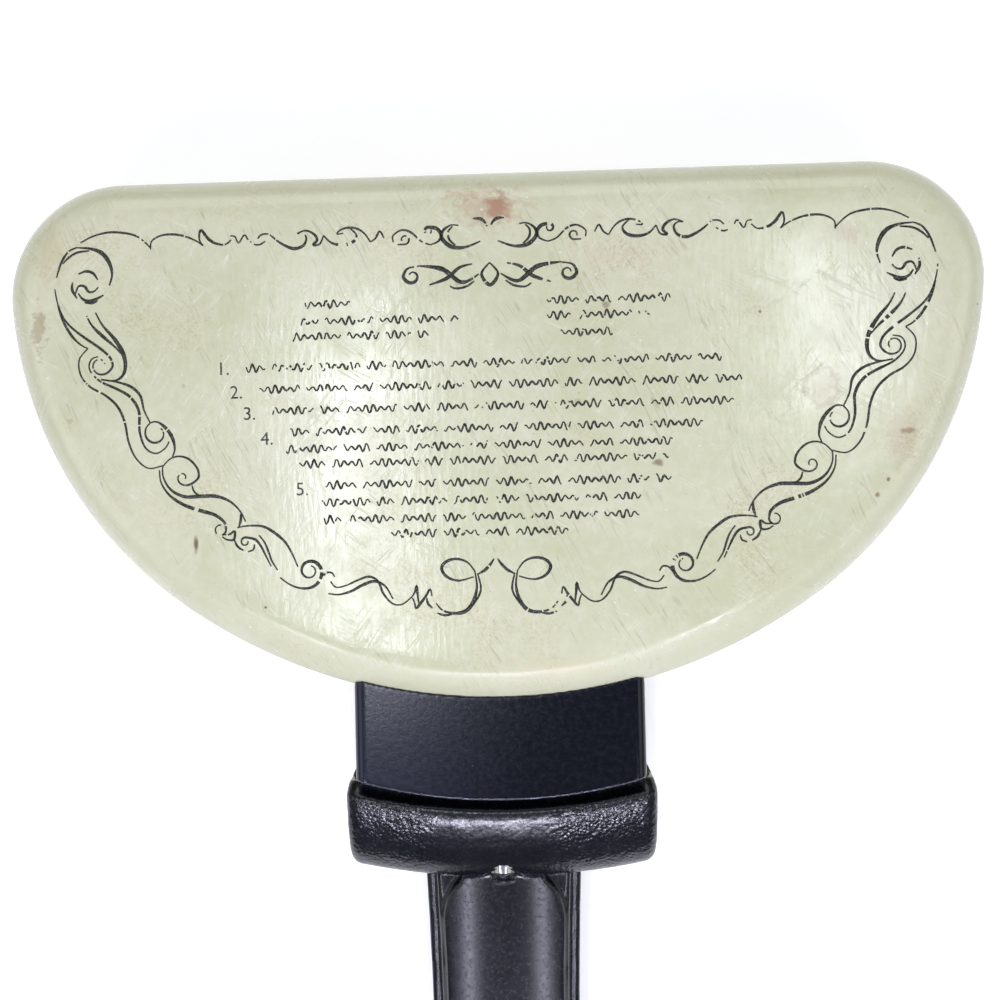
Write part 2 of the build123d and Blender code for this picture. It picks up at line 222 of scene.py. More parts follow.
def flat_rings(ring):
    """Rings that close the flat inside the given ring, drawn towards its centre."""
    centre_x, centre_y = FLAT_CENTRE
    made = []
    for index in range(1, FLAT_RINGS):
        share = 1 - index / FLAT_RINGS
        made.append([(centre_x + (x - centre_x) * share, centre_y + (y - centre_y) * share, height)
                     for x, y, height in ring])
    return made


def pan_shell(half, materials):
    """One pan: the outside's flat, the bent edge, the wall, the lip and the inside, as rings of quads."""
    side = HALVES[half]
    outside, inside = ([[(point.x, point.y, height) for point in pan_outline(inset)]
                        for inset, height in part] for part in pan_section())
    outside = flat_rings(outside[0])[::-1] + outside
    rings = outside + inside + flat_rings(inside[-1])
    count = len(rings[0])
    points = [(*FLAT_CENTRE, HALF_HEIGHT)]
    points += [point for ring in rings for point in ring]
    points.append((*FLAT_CENTRE, HALF_HEIGHT - WALL))
    faces = []
    last = len(points) - 1
    for index in range(count):
        following = (index + 1) % count
        faces.append((0, 1 + index, 1 + following))
        faces.append((last, last - count + following, last - count + index))
        for row in range(len(rings) - 1):
            near = 1 + row * count
            far = near + count
            faces.append((near + index, far + index, far + following, near + following))
    placed = []
    for x, y, height in points:
        flatness = min(max((height - HALF_HEIGHT * WAVES_FROM) / (HALF_HEIGHT * WAVES_FADE), 0), 1)
        height -= face_drop(x, y) * flatness
        placed.append(Vector((x, y, MID_Z + side * (RIM_Z - MID_Z + height))) * MM)
    if side < 0:
        faces = [face[::-1] for face in faces]
    mesh = bpy.data.meshes.new(f"{half}_pan_shell")
    mesh.from_pydata(placed, [], faces)
    mesh.shade_smooth()
    for material in materials:
        mesh.materials.append(material)
    inside_start = 1 + len(outside) * count
    for polygon in mesh.polygons:
        polygon.material_index = 1 if min(polygon.vertices) >= inside_start else 0
    heights = np.array([height for _, _, height in points])
    add_mask(mesh, "lip", 1 - heights / LIP_WEAR)
    under_flat = np.clip((HALF_HEIGHT - BEND_DROP - heights) / BEND_FADE, 0, 1)
    add_mask(mesh, "bend", under_flat * np.clip(heights / WALL_FADE, 0, 1))
    made = linked(mesh.name, mesh)
    claim(made, f"{half}_half", "enamelled_aluminium", f"{half}_pan")


# Node helpers


def fill(made, inputs):
    """Sets a node's inputs, by name or number, to values or sockets."""
    for name, value in dict(inputs).items():
        if isinstance(value, bpy.types.NodeSocket):
            made.id_data.links.new(value, made.inputs[name])
        else:
            made.inputs[name].default_value = value
    return made


def put(tree, kind, inputs=(), **settings):
    """A new node with its settings and inputs."""
    made = tree.nodes.new(kind)
    for name, value in settings.items():
        setattr(made, name, value)
    return fill(made, inputs)


def maths(tree, operation, first, second=0.0, clamp=False):
    return put(tree, "ShaderNodeMath", {0: first, 1: second}, operation=operation, use_clamp=clamp).outputs[0]


def times(tree, first, second, clamp=False):
    return maths(tree, "MULTIPLY", first, second, clamp)


def plus(tree, first, second):
    return maths(tree, "ADD", first, second)


def mixed(tree, share, first, second):
    """Colour mix; colours are linear RGB triples or sockets."""
    ends = [value if isinstance(value, bpy.types.NodeSocket) else (*value, 1) for value in (first, second)]
    made = put(tree, "ShaderNodeMix", data_type="RGBA")
    return fill(made, {0: share, 6: ends[0], 7: ends[1]}).outputs[2]


def ramped(tree, value, low, high, to_low=0.0, to_high=1.0):
    """The value carried smoothly from one range to another, and held at its ends."""
    return put(tree, "ShaderNodeMapRange", {0: value, 1: low, 2: high, 3: to_low, 4: to_high},
               interpolation_type="SMOOTHSTEP").outputs[0]


def cloud(tree, vector, scale, detail=3.0, rough=0.55, distortion=0.0):
    """Noise with scale features to a millimetre."""
    return put(tree, "ShaderNodeTexNoise", {"Vector": vector, "Scale": scale, "Detail": detail,
                                            "Roughness": rough, "Distortion": distortion}).outputs[0]


def on_vectors(tree, operation, first, second):
    return put(tree, "ShaderNodeVectorMath", {0: first, 1: second}, operation=operation).outputs[0]


def new_tree(kind, name, inputs, outputs):
    """A node group with named inputs (name, kind, value) and outputs (name, kind)."""
    tree = bpy.data.node_groups.new(name, kind)
    for label, socket_kind, value in inputs:
        socket = tree.interface.new_socket(label, in_out="INPUT", socket_type=socket_kind)
        if value is not None:
            socket.default_value = value
    for label, socket_kind in outputs:
        tree.interface.new_socket(label, in_out="OUTPUT", socket_type=socket_kind)
    return tree, tree.nodes.new("NodeGroupInput").outputs, tree.nodes.new("NodeGroupOutput")


FLOAT, VECTOR, GEOMETRY = "NodeSocketFloat", "NodeSocketVector", "NodeSocketGeometry"
SHADER_TREE, GEOMETRY_TREE = "ShaderNodeTree", "GeometryNodeTree"


def millimetre_group():
    """Object coordinates in millimetres, so that pattern sizes are real sizes."""
    tree, _, out = new_tree(SHADER_TREE, "Millimetres", [], [("Vector", VECTOR)])
    place = put(tree, "ShaderNodeTexCoord").outputs["Object"]
    fill(out, {"Vector": on_vectors(tree, "MULTIPLY", place, (1 / MM,) * 3)})
    return tree


def speck_group():
    """Ragged specks of uneven size, scattered one to a cell and kept in only a share of the cells."""
    tree, given, out = new_tree(SHADER_TREE, "Specks", [
        ("Vector", VECTOR, None), ("Spacing", FLOAT, 4.0), ("Radius", FLOAT, 0.4), ("Share", FLOAT, 0.3)],
        [("Mask", FLOAT)])
    cells = put(tree, "ShaderNodeTexVoronoi", {"Vector": given["Vector"], "Scale": maths(
        tree, "DIVIDE", 1.0, given["Spacing"])})
    parts = put(tree, "ShaderNodeSeparateColor", {0: cells.outputs["Color"]})
    reach = times(tree, given["Radius"], plus(tree, parts.outputs[1], 0.35))
    away = times(tree, cells.outputs["Distance"], given["Spacing"])
    ragged = plus(tree, times(tree, cloud(tree, given["Vector"], 2.2), 0.9), 0.55)
    inside = maths(tree, "SUBTRACT", times(tree, reach, ragged), away)
    kept = maths(tree, "LESS_THAN", parts.outputs[0], given["Share"])
    fill(out, {"Mask": times(tree, ramped(tree, inside, 0.0, 0.15), kept)})
    return tree


def scratch_group():
    """Fine scratches that run one way, in broken lengths and in patches."""
    tree, given, out = new_tree(SHADER_TREE, "Scratches", [
        ("Vector", VECTOR, None), ("Turn", FLOAT, 0.5), ("Spacing", FLOAT, 1.2), ("Amount", FLOAT, 0.3)],
        [("Mask", FLOAT)])
    turned = put(tree, "ShaderNodeVectorRotate", {"Vector": given["Vector"], "Angle": given["Turn"]},
                 rotation_type="Z_AXIS").outputs[0]
    bent = put(tree, "ShaderNodeTexNoise", {"Vector": turned, "Scale": 0.03, "Detail": 1.0})
    pull = put(tree, "ShaderNodeVectorMath", {0: bent.outputs["Color"], "Scale": 9.0}, operation="SCALE")
    shifted = on_vectors(tree, "ADD", turned, pull.outputs[0])
    drawn = on_vectors(tree, "MULTIPLY", shifted, (0.045, 1.0, 0.2))
    lines = put(tree, "ShaderNodeTexNoise", {"Vector": drawn, "Detail": 2.0, "Roughness": 0.6, "Scale": maths(
        tree, "DIVIDE", 1.0, given["Spacing"])}).outputs[0]
    ridge = maths(tree, "ABSOLUTE", maths(tree, "SUBTRACT", lines, 0.5))
    patch = ramped(tree, cloud(tree, shifted, 0.09, 2.0), 0.62, 0.38)
    level = maths(tree, "SUBTRACT", plus(tree, given["Amount"], patch), 1.0, clamp=True)
    level = times(tree, level, 2.0, clamp=True)
    fill(out, {"Mask": times(tree, ramped(tree, ridge, 0.022, 0.0), level)})
    return tree


def stain_group():
    """One stain round a centre in millimetres, its edge made ragged by a noise that all stains share."""
    tree, given, out = new_tree(SHADER_TREE, "Stain", [
        ("Vector", VECTOR, None), ("Centre", VECTOR, None), ("Stretch", VECTOR, (1, 1, 1)),
        ("Radius", FLOAT, 5.0), ("Ragged", FLOAT, 0.5), ("Noise", FLOAT, 0.5)],
        [("Mask", FLOAT), ("Ring", FLOAT)])
    apart = on_vectors(tree, "SUBTRACT", given["Vector"], given["Centre"])
    away = put(tree, "ShaderNodeVectorMath", {0: on_vectors(tree, "MULTIPLY", apart, given["Stretch"])},
               operation="LENGTH").outputs["Value"]
    uneven = times(tree, maths(tree, "SUBTRACT", given["Noise"], 0.5), given["Ragged"])
    level = plus(tree, maths(tree, "DIVIDE", away, given["Radius"]), times(tree, uneven, 3.0))
    ring = maths(tree, "ABSOLUTE", maths(tree, "SUBTRACT", level, 0.9))
    fill(out, {"Mask": ramped(tree, level, 1.15, 0.35), "Ring": ramped(tree, ring, 0.2, 0.02)})
    return tree


millimetres = millimetre_group()
specks = speck_group()
scratches = scratch_group()
stain = stain_group()


def grouped(tree, group, inputs=()):
    return fill(put(tree, "ShaderNodeGroup", node_tree=group), inputs)


def speckled(tree, place, colour, spacing, radius, share, tint, strength, within=1.0):
    """A colour with specks of another one over it, where the within mask lets them show."""
    dots = grouped(tree, specks, {"Vector": place, "Spacing": spacing, "Radius": radius, "Share": share})
    level = times(tree, times(tree, dots.outputs[0], strength), within)
    return mixed(tree, level, colour, tint)


def scratched(tree, place, turn, spacing, amount):
    return grouped(tree, scratches, {"Vector": place, "Turn": turn, "Spacing": spacing,
                                     "Amount": amount}).outputs[0]


def attribute(tree, name):
    return put(tree, "ShaderNodeAttribute", attribute_name=name).outputs["Fac"]


def new_material(name, **constants):
    """A material with one Principled BSDF; constants are set on the shader's own sockets."""
    material = bpy.data.materials.new(name)
    material.use_nodes = True
    tree = material.node_tree
    shader = tree.nodes["Principled BSDF"]
    fill(shader, {label.replace("_", " "): value for label, value in constants.items()})
    return material, tree, shader, grouped(tree, millimetres).outputs["Vector"]


def relief(tree, height, distance):
    """Normal of a fine relief whose full height is distance, in millimetres."""
    return put(tree, "ShaderNodeBump", {"Height": height, "Distance": distance * MM}).outputs[0]


# Stains on the face: (x, y), stretch, radius, ragged edge, colour, strength, and whether only a ring shows
STAINS = [
    ((2, 52.5), (1, 1, 1), 3.6, 0.7, (0.34, 0.13, 0.07), 0.80, False),
    ((0, 52.5), (0.5, 0.8, 1), 4.5, 1.0, (0.55, 0.36, 0.24), 0.45, False),
    ((-7, 55.5), (0.5, 1.5, 1), 2.4, 0.9, (0.48, 0.33, 0.18), 0.45, False),
    ((93, -3), (1.2, 0.7, 1), 5, 1.1, (0.56, 0.42, 0.30), 0.32, False),
    ((94, -1.5), (0.7, 1.6, 1), 1.3, 0.6, (0.28, 0.16, 0.09), 0.65, False),
    ((75, 9), (1, 0.9, 1), 3.6, 0.35, (0.60, 0.56, 0.38), 0.45, False),
    ((75, 9), (1, 0.9, 1), 4.2, 0.4, (0.45, 0.39, 0.25), 0.45, True),
    ((-69.5, -24), (2.2, 0.7, 1), 1.5, 0.3, (0.16, 0.06, 0.03), 0.85, False),
    ((37.5, -7.5), (0.8, 1.2, 1), 1.2, 0.5, (0.20, 0.11, 0.06), 0.70, False),
    ((26.5, 29), (1, 1, 1), 1, 0.4, (0.22, 0.12, 0.06), 0.65, False),
    ((-103, 45), (0.7, 0.35, 1), 3.4, 1.0, (0.62, 0.54, 0.34), 0.45, False),
    ((-106, 27), (1, 0.4, 1), 2.2, 1.6, (0.34, 0.23, 0.12), 0.50, False),
    ((29, 40.5), (0.3, 1.2, 1), 4, 1.4, (0.68, 0.57, 0.42), 0.25, False),
    ((81, 44), (0.7, 1, 1), 3, 1.0, (0.56, 0.44, 0.34), 0.40, False),
    ((14, -54), (0.22, 1, 1), 3, 1.4, (0.76, 0.60, 0.38), 0.25, False),
    ((87, -16), (1, 1, 1), 0.8, 0.4, (0.24, 0.08, 0.05), 0.80, False),
    ((89.5, -12.5), (1, 1, 1), 0.6, 0.4, (0.24, 0.08, 0.05), 0.80, False),
    ((61.5, 26.5), (1, 1, 1), 0.5, 0.3, (0.10, 0.06, 0.04), 0.85, False),
]
# Specks all over the enamel: spacing, radius, share, colour, strength
ENAMEL_SPECKS = [
    (5.5, 0.30, 0.30, (0.11, 0.08, 0.04), 0.75),
    (9.0, 0.80, 0.18, (0.44, 0.36, 0.20), 0.40),
    (2.6, 0.30, 0.45, (0.92, 0.92, 0.84), 0.50),
    (1.1, 0.20, 0.45, (0.52, 0.52, 0.32), 0.45),
    (1.8, 0.18, 0.30, (0.30, 0.26, 0.13), 0.55),
    (14.0, 0.70, 0.35, (0.34, 0.21, 0.11), 0.55),
]


def enamel():
    """Aged pale avocado enamel: cloudy colour, stains, specks, scratches, dull patches and a worn lip."""
    material, tree, shader, place = new_material("aged_enamel", IOR=1.5)
    slow = cloud(tree, place, 0.02, 4.0, 0.6, 0.6)
    colour = mixed(tree, ramped(tree, slow, 0.35, 0.65), (0.64, 0.66, 0.43), (0.72, 0.725, 0.52))
    fine = cloud(tree, place, 0.35, 6.0, 0.7)
    colour = mixed(tree, ramped(tree, fine, 0.42, 0.75, 0.0, 0.35), colour, (0.84, 0.83, 0.70))
    ragged = cloud(tree, place, 0.45, 5.0, 0.65)
    colour = mixed(tree, ramped(tree, ragged, 0.50, 0.72, 0.0, 0.35), colour, (0.66, 0.62, 0.40))
    grime = times(tree, ramped(tree, cloud(tree, place, 0.03, 5.0, 0.7), 0.48, 0.68),
                  ramped(tree, cloud(tree, place, 1.6, 5.0, 0.75), 0.46, 0.62, 0.0, 0.8))
    colour = mixed(tree, grime, colour, (0.54, 0.47, 0.27))
    scored = scratched(tree, place, 1.1, 1.9, 0.50)
    colour = mixed(tree, times(tree, scored, 0.32), colour, (0.27, 0.25, 0.15))
    bend = attribute(tree, "bend")
    colour = mixed(tree, times(tree, bend, 0.45), colour, (0.76, 0.77, 0.54))
    for (x, y), stretch, radius, uneven, tint, strength, ring_only in STAINS:
        mark = grouped(tree, stain, {"Vector": place, "Centre": (x, y, FACE_Z), "Stretch": stretch,
                                     "Radius": radius, "Ragged": uneven, "Noise": ragged})
        shown = mark.outputs["Ring" if ring_only else "Mask"]
        colour = mixed(tree, times(tree, shown, strength), colour, tint)
    for dots in ENAMEL_SPECKS:
        colour = speckled(tree, place, colour, *dots)
    along = put(tree, "ShaderNodeSeparateXYZ", {0: place}).outputs[1]
    front = times(tree, bend, ramped(tree, along, -30.0, -45.0))
    colour = speckled(tree, place, colour, 2.4, 0.34, 0.30, (0.92, 0.91, 0.88), 0.7, front)
    worn = maths(tree, "MAXIMUM", scratched(tree, place, 0.5, 1.6, 0.50),
                 scratched(tree, place, -0.9, 1.5, 0.5))
    colour = mixed(tree, times(tree, worn, 0.22), colour, (0.84, 0.84, 0.74))
    lip = plus(tree, attribute(tree, "lip"), times(tree, ragged, 0.6))
    bare = ramped(tree, lip, 0.95, 1.1)
    colour = mixed(tree, bare, colour, (0.50, 0.49, 0.46))
    dull = ramped(tree, cloud(tree, place, 0.06, 6.0, 0.65), 0.35, 0.7, 0.12, 0.23)
    rubbed_down = on_vectors(tree, "MULTIPLY", place, (1, 0.25, 1))
    peel = plus(tree, cloud(tree, rubbed_down, 0.8, 3.0), times(tree, worn, -0.3))
    rubbed = plus(tree, times(tree, worn, 0.15), times(tree, front, 0.30))
    fill(shader, {"Base Color": colour, "Metallic": bare, "Normal": relief(tree, peel, 0.035),
                  "Roughness": plus(tree, dull, rubbed)})
    return material


def dark_coat():
    """Charcoal non-stick coating on the insides, fine-grained with utensil marks."""
    material, tree, shader, place = new_material("nonstick_coat", IOR=1.45)
    grain = cloud(tree, place, 3.0, 3.0)
    colour = mixed(tree, ramped(tree, cloud(tree, place, 0.04, 4.0), 0.35, 0.7), (0.020, 0.019, 0.018),
                   (0.042, 0.039, 0.036))
    marks = scratched(tree, place, 1.2, 2.5, 0.6)
    colour = mixed(tree, times(tree, marks, 0.5), colour, (0.10, 0.095, 0.09))
    colour = speckled(tree, place, colour, 1.6, 0.2, 0.5, (0.13, 0.12, 0.11), 0.35)
    rough = maths(tree, "SUBTRACT", grain, times(tree, marks, 0.5))
    fill(shader, {"Base Color": colour, "Roughness": ramped(tree, grain, 0.3, 0.7, 0.36, 0.52),
                  "Normal": relief(tree, rough, 0.05)})
    return material


def bracket_paint():
    """Satin blue-black paint on the steel hood, with painted sheen at the left; bright along its worn free
    edge.
    """
    material, tree, shader, place = new_material("satin_black_paint", IOR=1.42)
    wear = attribute(tree, "edge")
    mottle = cloud(tree, place, 0.8, 5.0, 0.65)
    across = put(tree, "ShaderNodeSeparateXYZ", {0: place}).outputs[0]
    # Painted sheen: the colour is lighter towards the left, standing in for a brighter reflection on that
    # side
    painted_left_sheen = ramped(tree, across, 10.0, -32.0)
    colour = mixed(tree, painted_left_sheen, (0.0004, 0.0016, 0.0075), (0.014, 0.016, 0.032))
    colour = mixed(tree, ramped(tree, mottle, 0.5, 0.75, 0.0, 0.3), colour, (0.010, 0.013, 0.022))
    colour = speckled(tree, place, colour, 2.4, 0.17, 0.30, (0.24, 0.24, 0.27), 0.6)
    marks = scratched(tree, place, 0.4, 2.6, 0.30)
    colour = mixed(tree, times(tree, marks, 0.12), colour, (0.05, 0.05, 0.06))
    bare = ramped(tree, plus(tree, wear, times(tree, mottle, 0.5)), 0.90, 1.1)
    colour = mixed(tree, times(tree, bare, 0.8), colour, (0.17, 0.18, 0.22))
    fill(shader, {"Base Color": colour, "Metallic": times(tree, bare, 0.5),
                  "Normal": relief(tree, mottle, 0.02),
                  "Roughness": ramped(tree, mottle, 0.3, 0.7, 0.15, 0.22)})
    return material


def phenolic():
    """Black moulded phenolic: beaded on the roll, smooth and satin on the grip, with painted shade under the
    hood.
    """
    material, tree, shader, place = new_material("black_phenolic", IOR=1.5)
    rough = attribute(tree, "pitted")
    wear = attribute(tree, "edge")
    colour = mixed(tree, ramped(tree, cloud(tree, place, 0.09, 3.0), 0.35, 0.65), (0.0015, 0.0028, 0.0070),
                   (0.0045, 0.0060, 0.0105))
    skin = times(tree, ramped(tree, cloud(tree, place, 0.22, 5.0, 0.65), 0.48, 0.68), rough)
    colour = mixed(tree, times(tree, skin, 0.4), colour, (0.018, 0.019, 0.026))
    colour = speckled(tree, place, colour, 3.0, 0.17, 0.3, (0.30, 0.29, 0.28), 0.7)
    grain = cloud(tree, place, 1.1, 5.0, 0.6)
    rubbed = ramped(tree, plus(tree, wear, times(tree, grain, 0.5)), 0.85, 1.2)
    colour = mixed(tree, times(tree, rubbed, 0.1), colour, (0.04, 0.045, 0.055))
    # Painted shade: the roll is coloured near-black just under the hood's free edge
    painted_shade_under_hood = attribute(tree, "painted_shade_under_hood")
    colour = mixed(tree, painted_shade_under_hood, colour, (0.0003, 0.0005, 0.0012))
    beads = put(tree, "ShaderNodeTexVoronoi", {"Vector": place, "Scale": 1.1, "Smoothness": 0.3},
                feature="SMOOTH_F1").outputs["Distance"]
    beads = times(tree, maths(tree, "SUBTRACT", 1.0, beads), rough)
    fine = plus(tree, times(tree, rough, 0.30), 0.05)
    height = plus(tree, beads, times(tree, grain, fine))
    fill(shader, {"Base Color": colour, "Normal": relief(tree, height, 0.12),
                  "Roughness": ramped(tree, grain, 0.3, 0.7, 0.19, 0.29)})
    return material


def metal(name, bright, dark, shine, brushed):
    """Bare or plated metal with tarnish, brushing lines and specks of dirt."""
    material, tree, shader, place = new_material(name, Metallic=1.0)
    tarnish = cloud(tree, place, 0.35, 5.0, 0.65)
    colour = mixed(tree, ramped(tree, tarnish, 0.35, 0.7), bright, dark)
    colour = speckled(tree, place, colour, 1.4, 0.16, 0.3, (0.06, 0.045, 0.035), 0.6)
    marks = scratched(tree, place, 0.0, 0.35, brushed)
    fill(shader, {"Base Color": colour, "Normal": relief(tree, plus(tree, marks, tarnish), 0.02),
                  "Roughness": ramped(tree, tarnish, 0.3, 0.75, shine, shine + 0.2)})
    return material


def ink():
    """Black-green printing ink, thinned by rubbing so that the enamel's colour comes through in places."""
    material, tree, shader, place = new_material("printing_ink", IOR=1.45)
    colour = mixed(tree, ramped(tree, cloud(tree, place, 0.5, 3.0), 0.35, 0.7), (0.012, 0.014, 0.011),
                   (0.040, 0.044, 0.034))
    thin = ramped(tree, cloud(tree, place, 2.6, 4.0, 0.7), 0.54, 0.66, 0.0, 0.6)
    fill(shader, {"Base Color": mixed(tree, thin, colour, (0.42, 0.44, 0.32)),
                  "Roughness": ramped(tree, cloud(tree, place, 0.3, 4.0), 0.3, 0.7, 0.30, 0.5)})
    return material


enamel_finish = enamel()
coat_finish = dark_coat()
paint_finish = bracket_paint()
phenolic_finish = phenolic()
ink_finish = ink()
steel_finish = metal("hinge_steel", (0.56, 0.55, 0.53), (0.34, 0.31, 0.28), 0.26, 0.6)
rivet_finish = metal("rivet_aluminium", (0.72, 0.72, 0.71), (0.50, 0.49, 0.47), 0.24, 0.3)
plate_finish = metal("plated_steel", (0.66, 0.66, 0.66), (0.42, 0.40, 0.38), 0.16, 0.2)


# Mesh helpers


def claim(piece, body, slot, *replaced):
    """Puts a finished piece on its body and hides the frame's pieces that it replaces."""
    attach(piece, body)
    if replaced:
        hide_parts(*replaced)


def plain_result(source, name):
    """The evaluated object as a plain mesh piece at the origin."""
    depsgraph = bpy.context.evaluated_depsgraph_get()
    mesh = bpy.data.meshes.new_from_object(source.evaluated_get(depsgraph), depsgraph=depsgraph)
    bpy.data.objects.remove(source)
    mesh.name = name
    return linked(name, mesh)


def mesh_arrays(mesh):
    """Vertices in millimetres, unit normals and edges, as arrays."""
    count = len(mesh.vertices)
    places = np.empty(count * 3)
    normals = np.empty(count * 3)
    edges = np.empty(len(mesh.edges) * 2, dtype=np.int64)
    mesh.vertices.foreach_get("co", places)
    mesh.vertex_normals.foreach_get("vector", normals)
    mesh.edges.foreach_get("vertices", edges)
    return places.reshape(-1, 3) / MM, normals.reshape(-1, 3), edges.reshape(-1, 2)


def set_places(mesh, places):
    mesh.vertices.foreach_set("co", (places * MM).ravel())
    mesh.update()


def add_mask(mesh, name, values):
    made = mesh.attributes.new(name, "FLOAT", "POINT")
    made.data.foreach_set("value", np.clip(values, 0, 1).astype(np.float32))


def edge_mask(mesh, rounds=3, sharp=0.35):
    """1 on outward edges and 0 on flats and in corners, from how each point stands over its neighbours."""
    places, normals, edges = mesh_arrays(mesh)
    first, second = edges[:, 0], edges[:, 1]
    apart = places[second] - places[first]
    length = np.maximum(np.linalg.norm(apart, axis=1), 1e-6)
    stand = np.zeros(len(places))
    count = np.zeros(len(places))
    np.add.at(stand, first, -(apart * normals[first]).sum(1) / length)
    np.add.at(stand, second, (apart * normals[second]).sum(1) / length)
    np.add.at(count, first, 1)
    np.add.at(count, second, 1)
    stand /= np.maximum(count, 1)
    for _ in range(rounds):
        total = stand.copy()
        np.add.at(total, first, stand[second])
        np.add.at(total, second, stand[first])
        stand = total / (count + 1)
    return stand / (length.mean() * sharp)


def softened(node, name, voxel, rounds, finish):
    """A copy of a node with its edges rounded as a moulding's or a painted sheet's are."""
    mesh = nodes[node].data.copy()
    work = bmesh.new()
    work.from_mesh(mesh)
    bmesh.ops.remove_doubles(work, verts=work.verts, dist=0.002 * MM)
    work.to_mesh(mesh)
    work.free()
    mesh.materials.clear()
    copy = linked(name + "_copy", mesh)
    remesh = copy.modifiers.new("even", "REMESH")
    remesh.mode = "VOXEL"
    remesh.voxel_size = voxel * MM
    remesh.use_smooth_shade = True
    smooth = copy.modifiers.new("soft", "SMOOTH")
    smooth.factor = 0.5
    smooth.iterations = rounds
    made = plain_result(copy, name)
    made.data.materials.append(finish)
    return made


def bowed_reach(places):
    """How far points lie out from the pan's bowed front, on lines from the bow's centre."""
    return np.hypot(places[:, 0] - FRONT_C.x, places[:, 1] - FRONT_C.y) - FRONT_R


def crested(places, side):
    """Rounds the roll's top away from its crest: gently outwards, and steeply under the hood's free edge."""
    reach = bowed_reach(places)
    height = side * (places[:, 2] - MID_Z)
    top = height[(reach > HOOD_REACH) & (reach < CREST_REACH)].max()
    outwards = reach > CREST_REACH
    share = (reach - CREST_REACH) / np.where(outwards, CREST_SPREAD, TUCK_SPREAD)
    fall = np.where(outwards, CREST_FALL, TUCK_FALL) * (1 - 1 / (1 + share ** 2))
    places[:, 2] -= side * fall * np.clip((height - PANEL_CROWN) / (top - PANEL_CROWN), 0, 1)


def crowned(places, normals, side):
    """Brings the grip panel's facets, and the shallow groove of the screw head's bore, to the panel's arc."""
    crown_rise = PANEL_CROWN - PANEL_EDGE
    crown_r = (PANEL_HALF ** 2 + crown_rise ** 2) / (2 * crown_rise)
    across = np.clip(np.abs(places[:, 0]), 0, PANEL_HALF)
    apart = PANEL_CROWN - crown_r + np.sqrt(crown_r ** 2 - across ** 2) - side * (places[:, 2] - MID_Z)
    in_groove = across < GROOVE_HALF
    least = np.where(in_groove, GROOVE_FACING, FACET_FACING)
    facing = np.clip((side * normals[:, 2] - least) / FACING_FADE, 0, 1)
    deepest = np.where(in_groove, GROOVE_DEPTH, FACET_DEPTH)
    on_panel = facing * np.clip((deepest - np.abs(apart)) / DEPTH_FADE, 0, 1)
    places[:, 2] += side * apart * on_panel * np.clip(FRONT_Y - places[:, 1] - ROLL_END, 0, 1)


def handle_moulding(half):
    """The roll is crested and its skin blistered, most at its ends; the grip stays smooth."""
    side = HALVES[half]
    made = softened(f"{half}_handle", f"{half}_handle_moulding", *SOFT_MOULDING, phenolic_finish)
    mesh = made.data
    places, normals, _ = mesh_arrays(mesh)
    crowned(places, normals, side)
    crested(places, side)
    set_places(mesh, places)
    places, normals, _ = mesh_arrays(mesh)
    reach = bowed_reach(places)
    mask = np.clip((reach - ROLL_START) / SKIN_FADE, 0, 1) * np.clip(ROLL_END - reach, 0, 1)
    for index in np.nonzero(mask > 0)[0]:
        spot = Vector(places[index])
        blister = BLISTER_LIFT * noise.noise(spot * BLISTER_SCALE)
        pimple = PIMPLE_LIFT * noise.noise(spot * PIMPLE_SCALE + Vector((7, 3, 1)))
        places[index] += normals[index] * (blister + pimple - SKIN_SINK) * mask[index]
    set_places(mesh, places)
    ends = np.clip((np.abs(places[:, 0] - SMOOTH_MIDDLE) - SMOOTH_HALF) / SMOOTH_FADE, 0, 1)
    # Painted shade: this mask near-blackens the roll just under the hood's edge and keeps blisters off it
    # there
    painted_shade_under_hood = np.clip((HOOD_REACH + HOOD_SHADE_WIDTH - reach) / HOOD_SHADE_FADE, 0, 1)
    add_mask(mesh, "painted_shade_under_hood", painted_shade_under_hood)
    add_mask(mesh, "pitted", mask * (LEAST_PITTED + (1 - LEAST_PITTED) * ends) * (1 - painted_shade_under_hood))
    add_mask(mesh, "edge", edge_mask(mesh))
    claim(made, f"{half}_half", "black_phenolic", f"{half}_handle")


def hood(half):
    """The hood's paint is worn through along the free front edge of its outer face."""
    made = softened(f"{half}_handle_bracket", f"{half}_hood", *SOFT_HOOD, paint_finish)
    places, _, _ = mesh_arrays(made.data)
    free_edge = FRONT_Y - HOOD_REACH + HOOD_EDGE_R - np.sqrt(HOOD_EDGE_R ** 2 - places[:, 0] ** 2)
    add_mask(made.data, "edge", 1 - (places[:, 1] - free_edge) / EDGE_WEAR)
    claim(made, f"{half}_half", "black_bracket", f"{half}_handle_bracket")


def leaf(half, side):
    """A hinge leaf with its edges and knuckles softened."""
    node = f"{half}_hinge_leaf_{side}"
    made = softened(node, node + "_plate", *SOFT_LEAF, steel_finish)
    claim(made, f"{half}_half", "hinge_steel", node)


# Geometry Nodes: rivets and pen lines

LENS_SIDES = 33
OUTER_RINGS = 15
INNER_RINGS = 13
SHANK_OVERLAP = 0.4


def geometry_tree(name, inputs):
    ends = [("Geometry", GEOMETRY, None), *inputs, ("Material", "NodeSocketMaterial", None)]
    return new_tree(GEOMETRY_TREE, name, ends, [("Geometry", GEOMETRY)])


def finish_tree(given, out, geometry):
    """Realize Instances and Set Material, the end of every tree."""
    real = put(out.id_data, "GeometryNodeRealizeInstances", {"Geometry": geometry})
    fill(out, {"Geometry": put(out.id_data, "GeometryNodeSetMaterial", {
        "Geometry": real.outputs[0], "Material": given["Material"]}).outputs[0]})


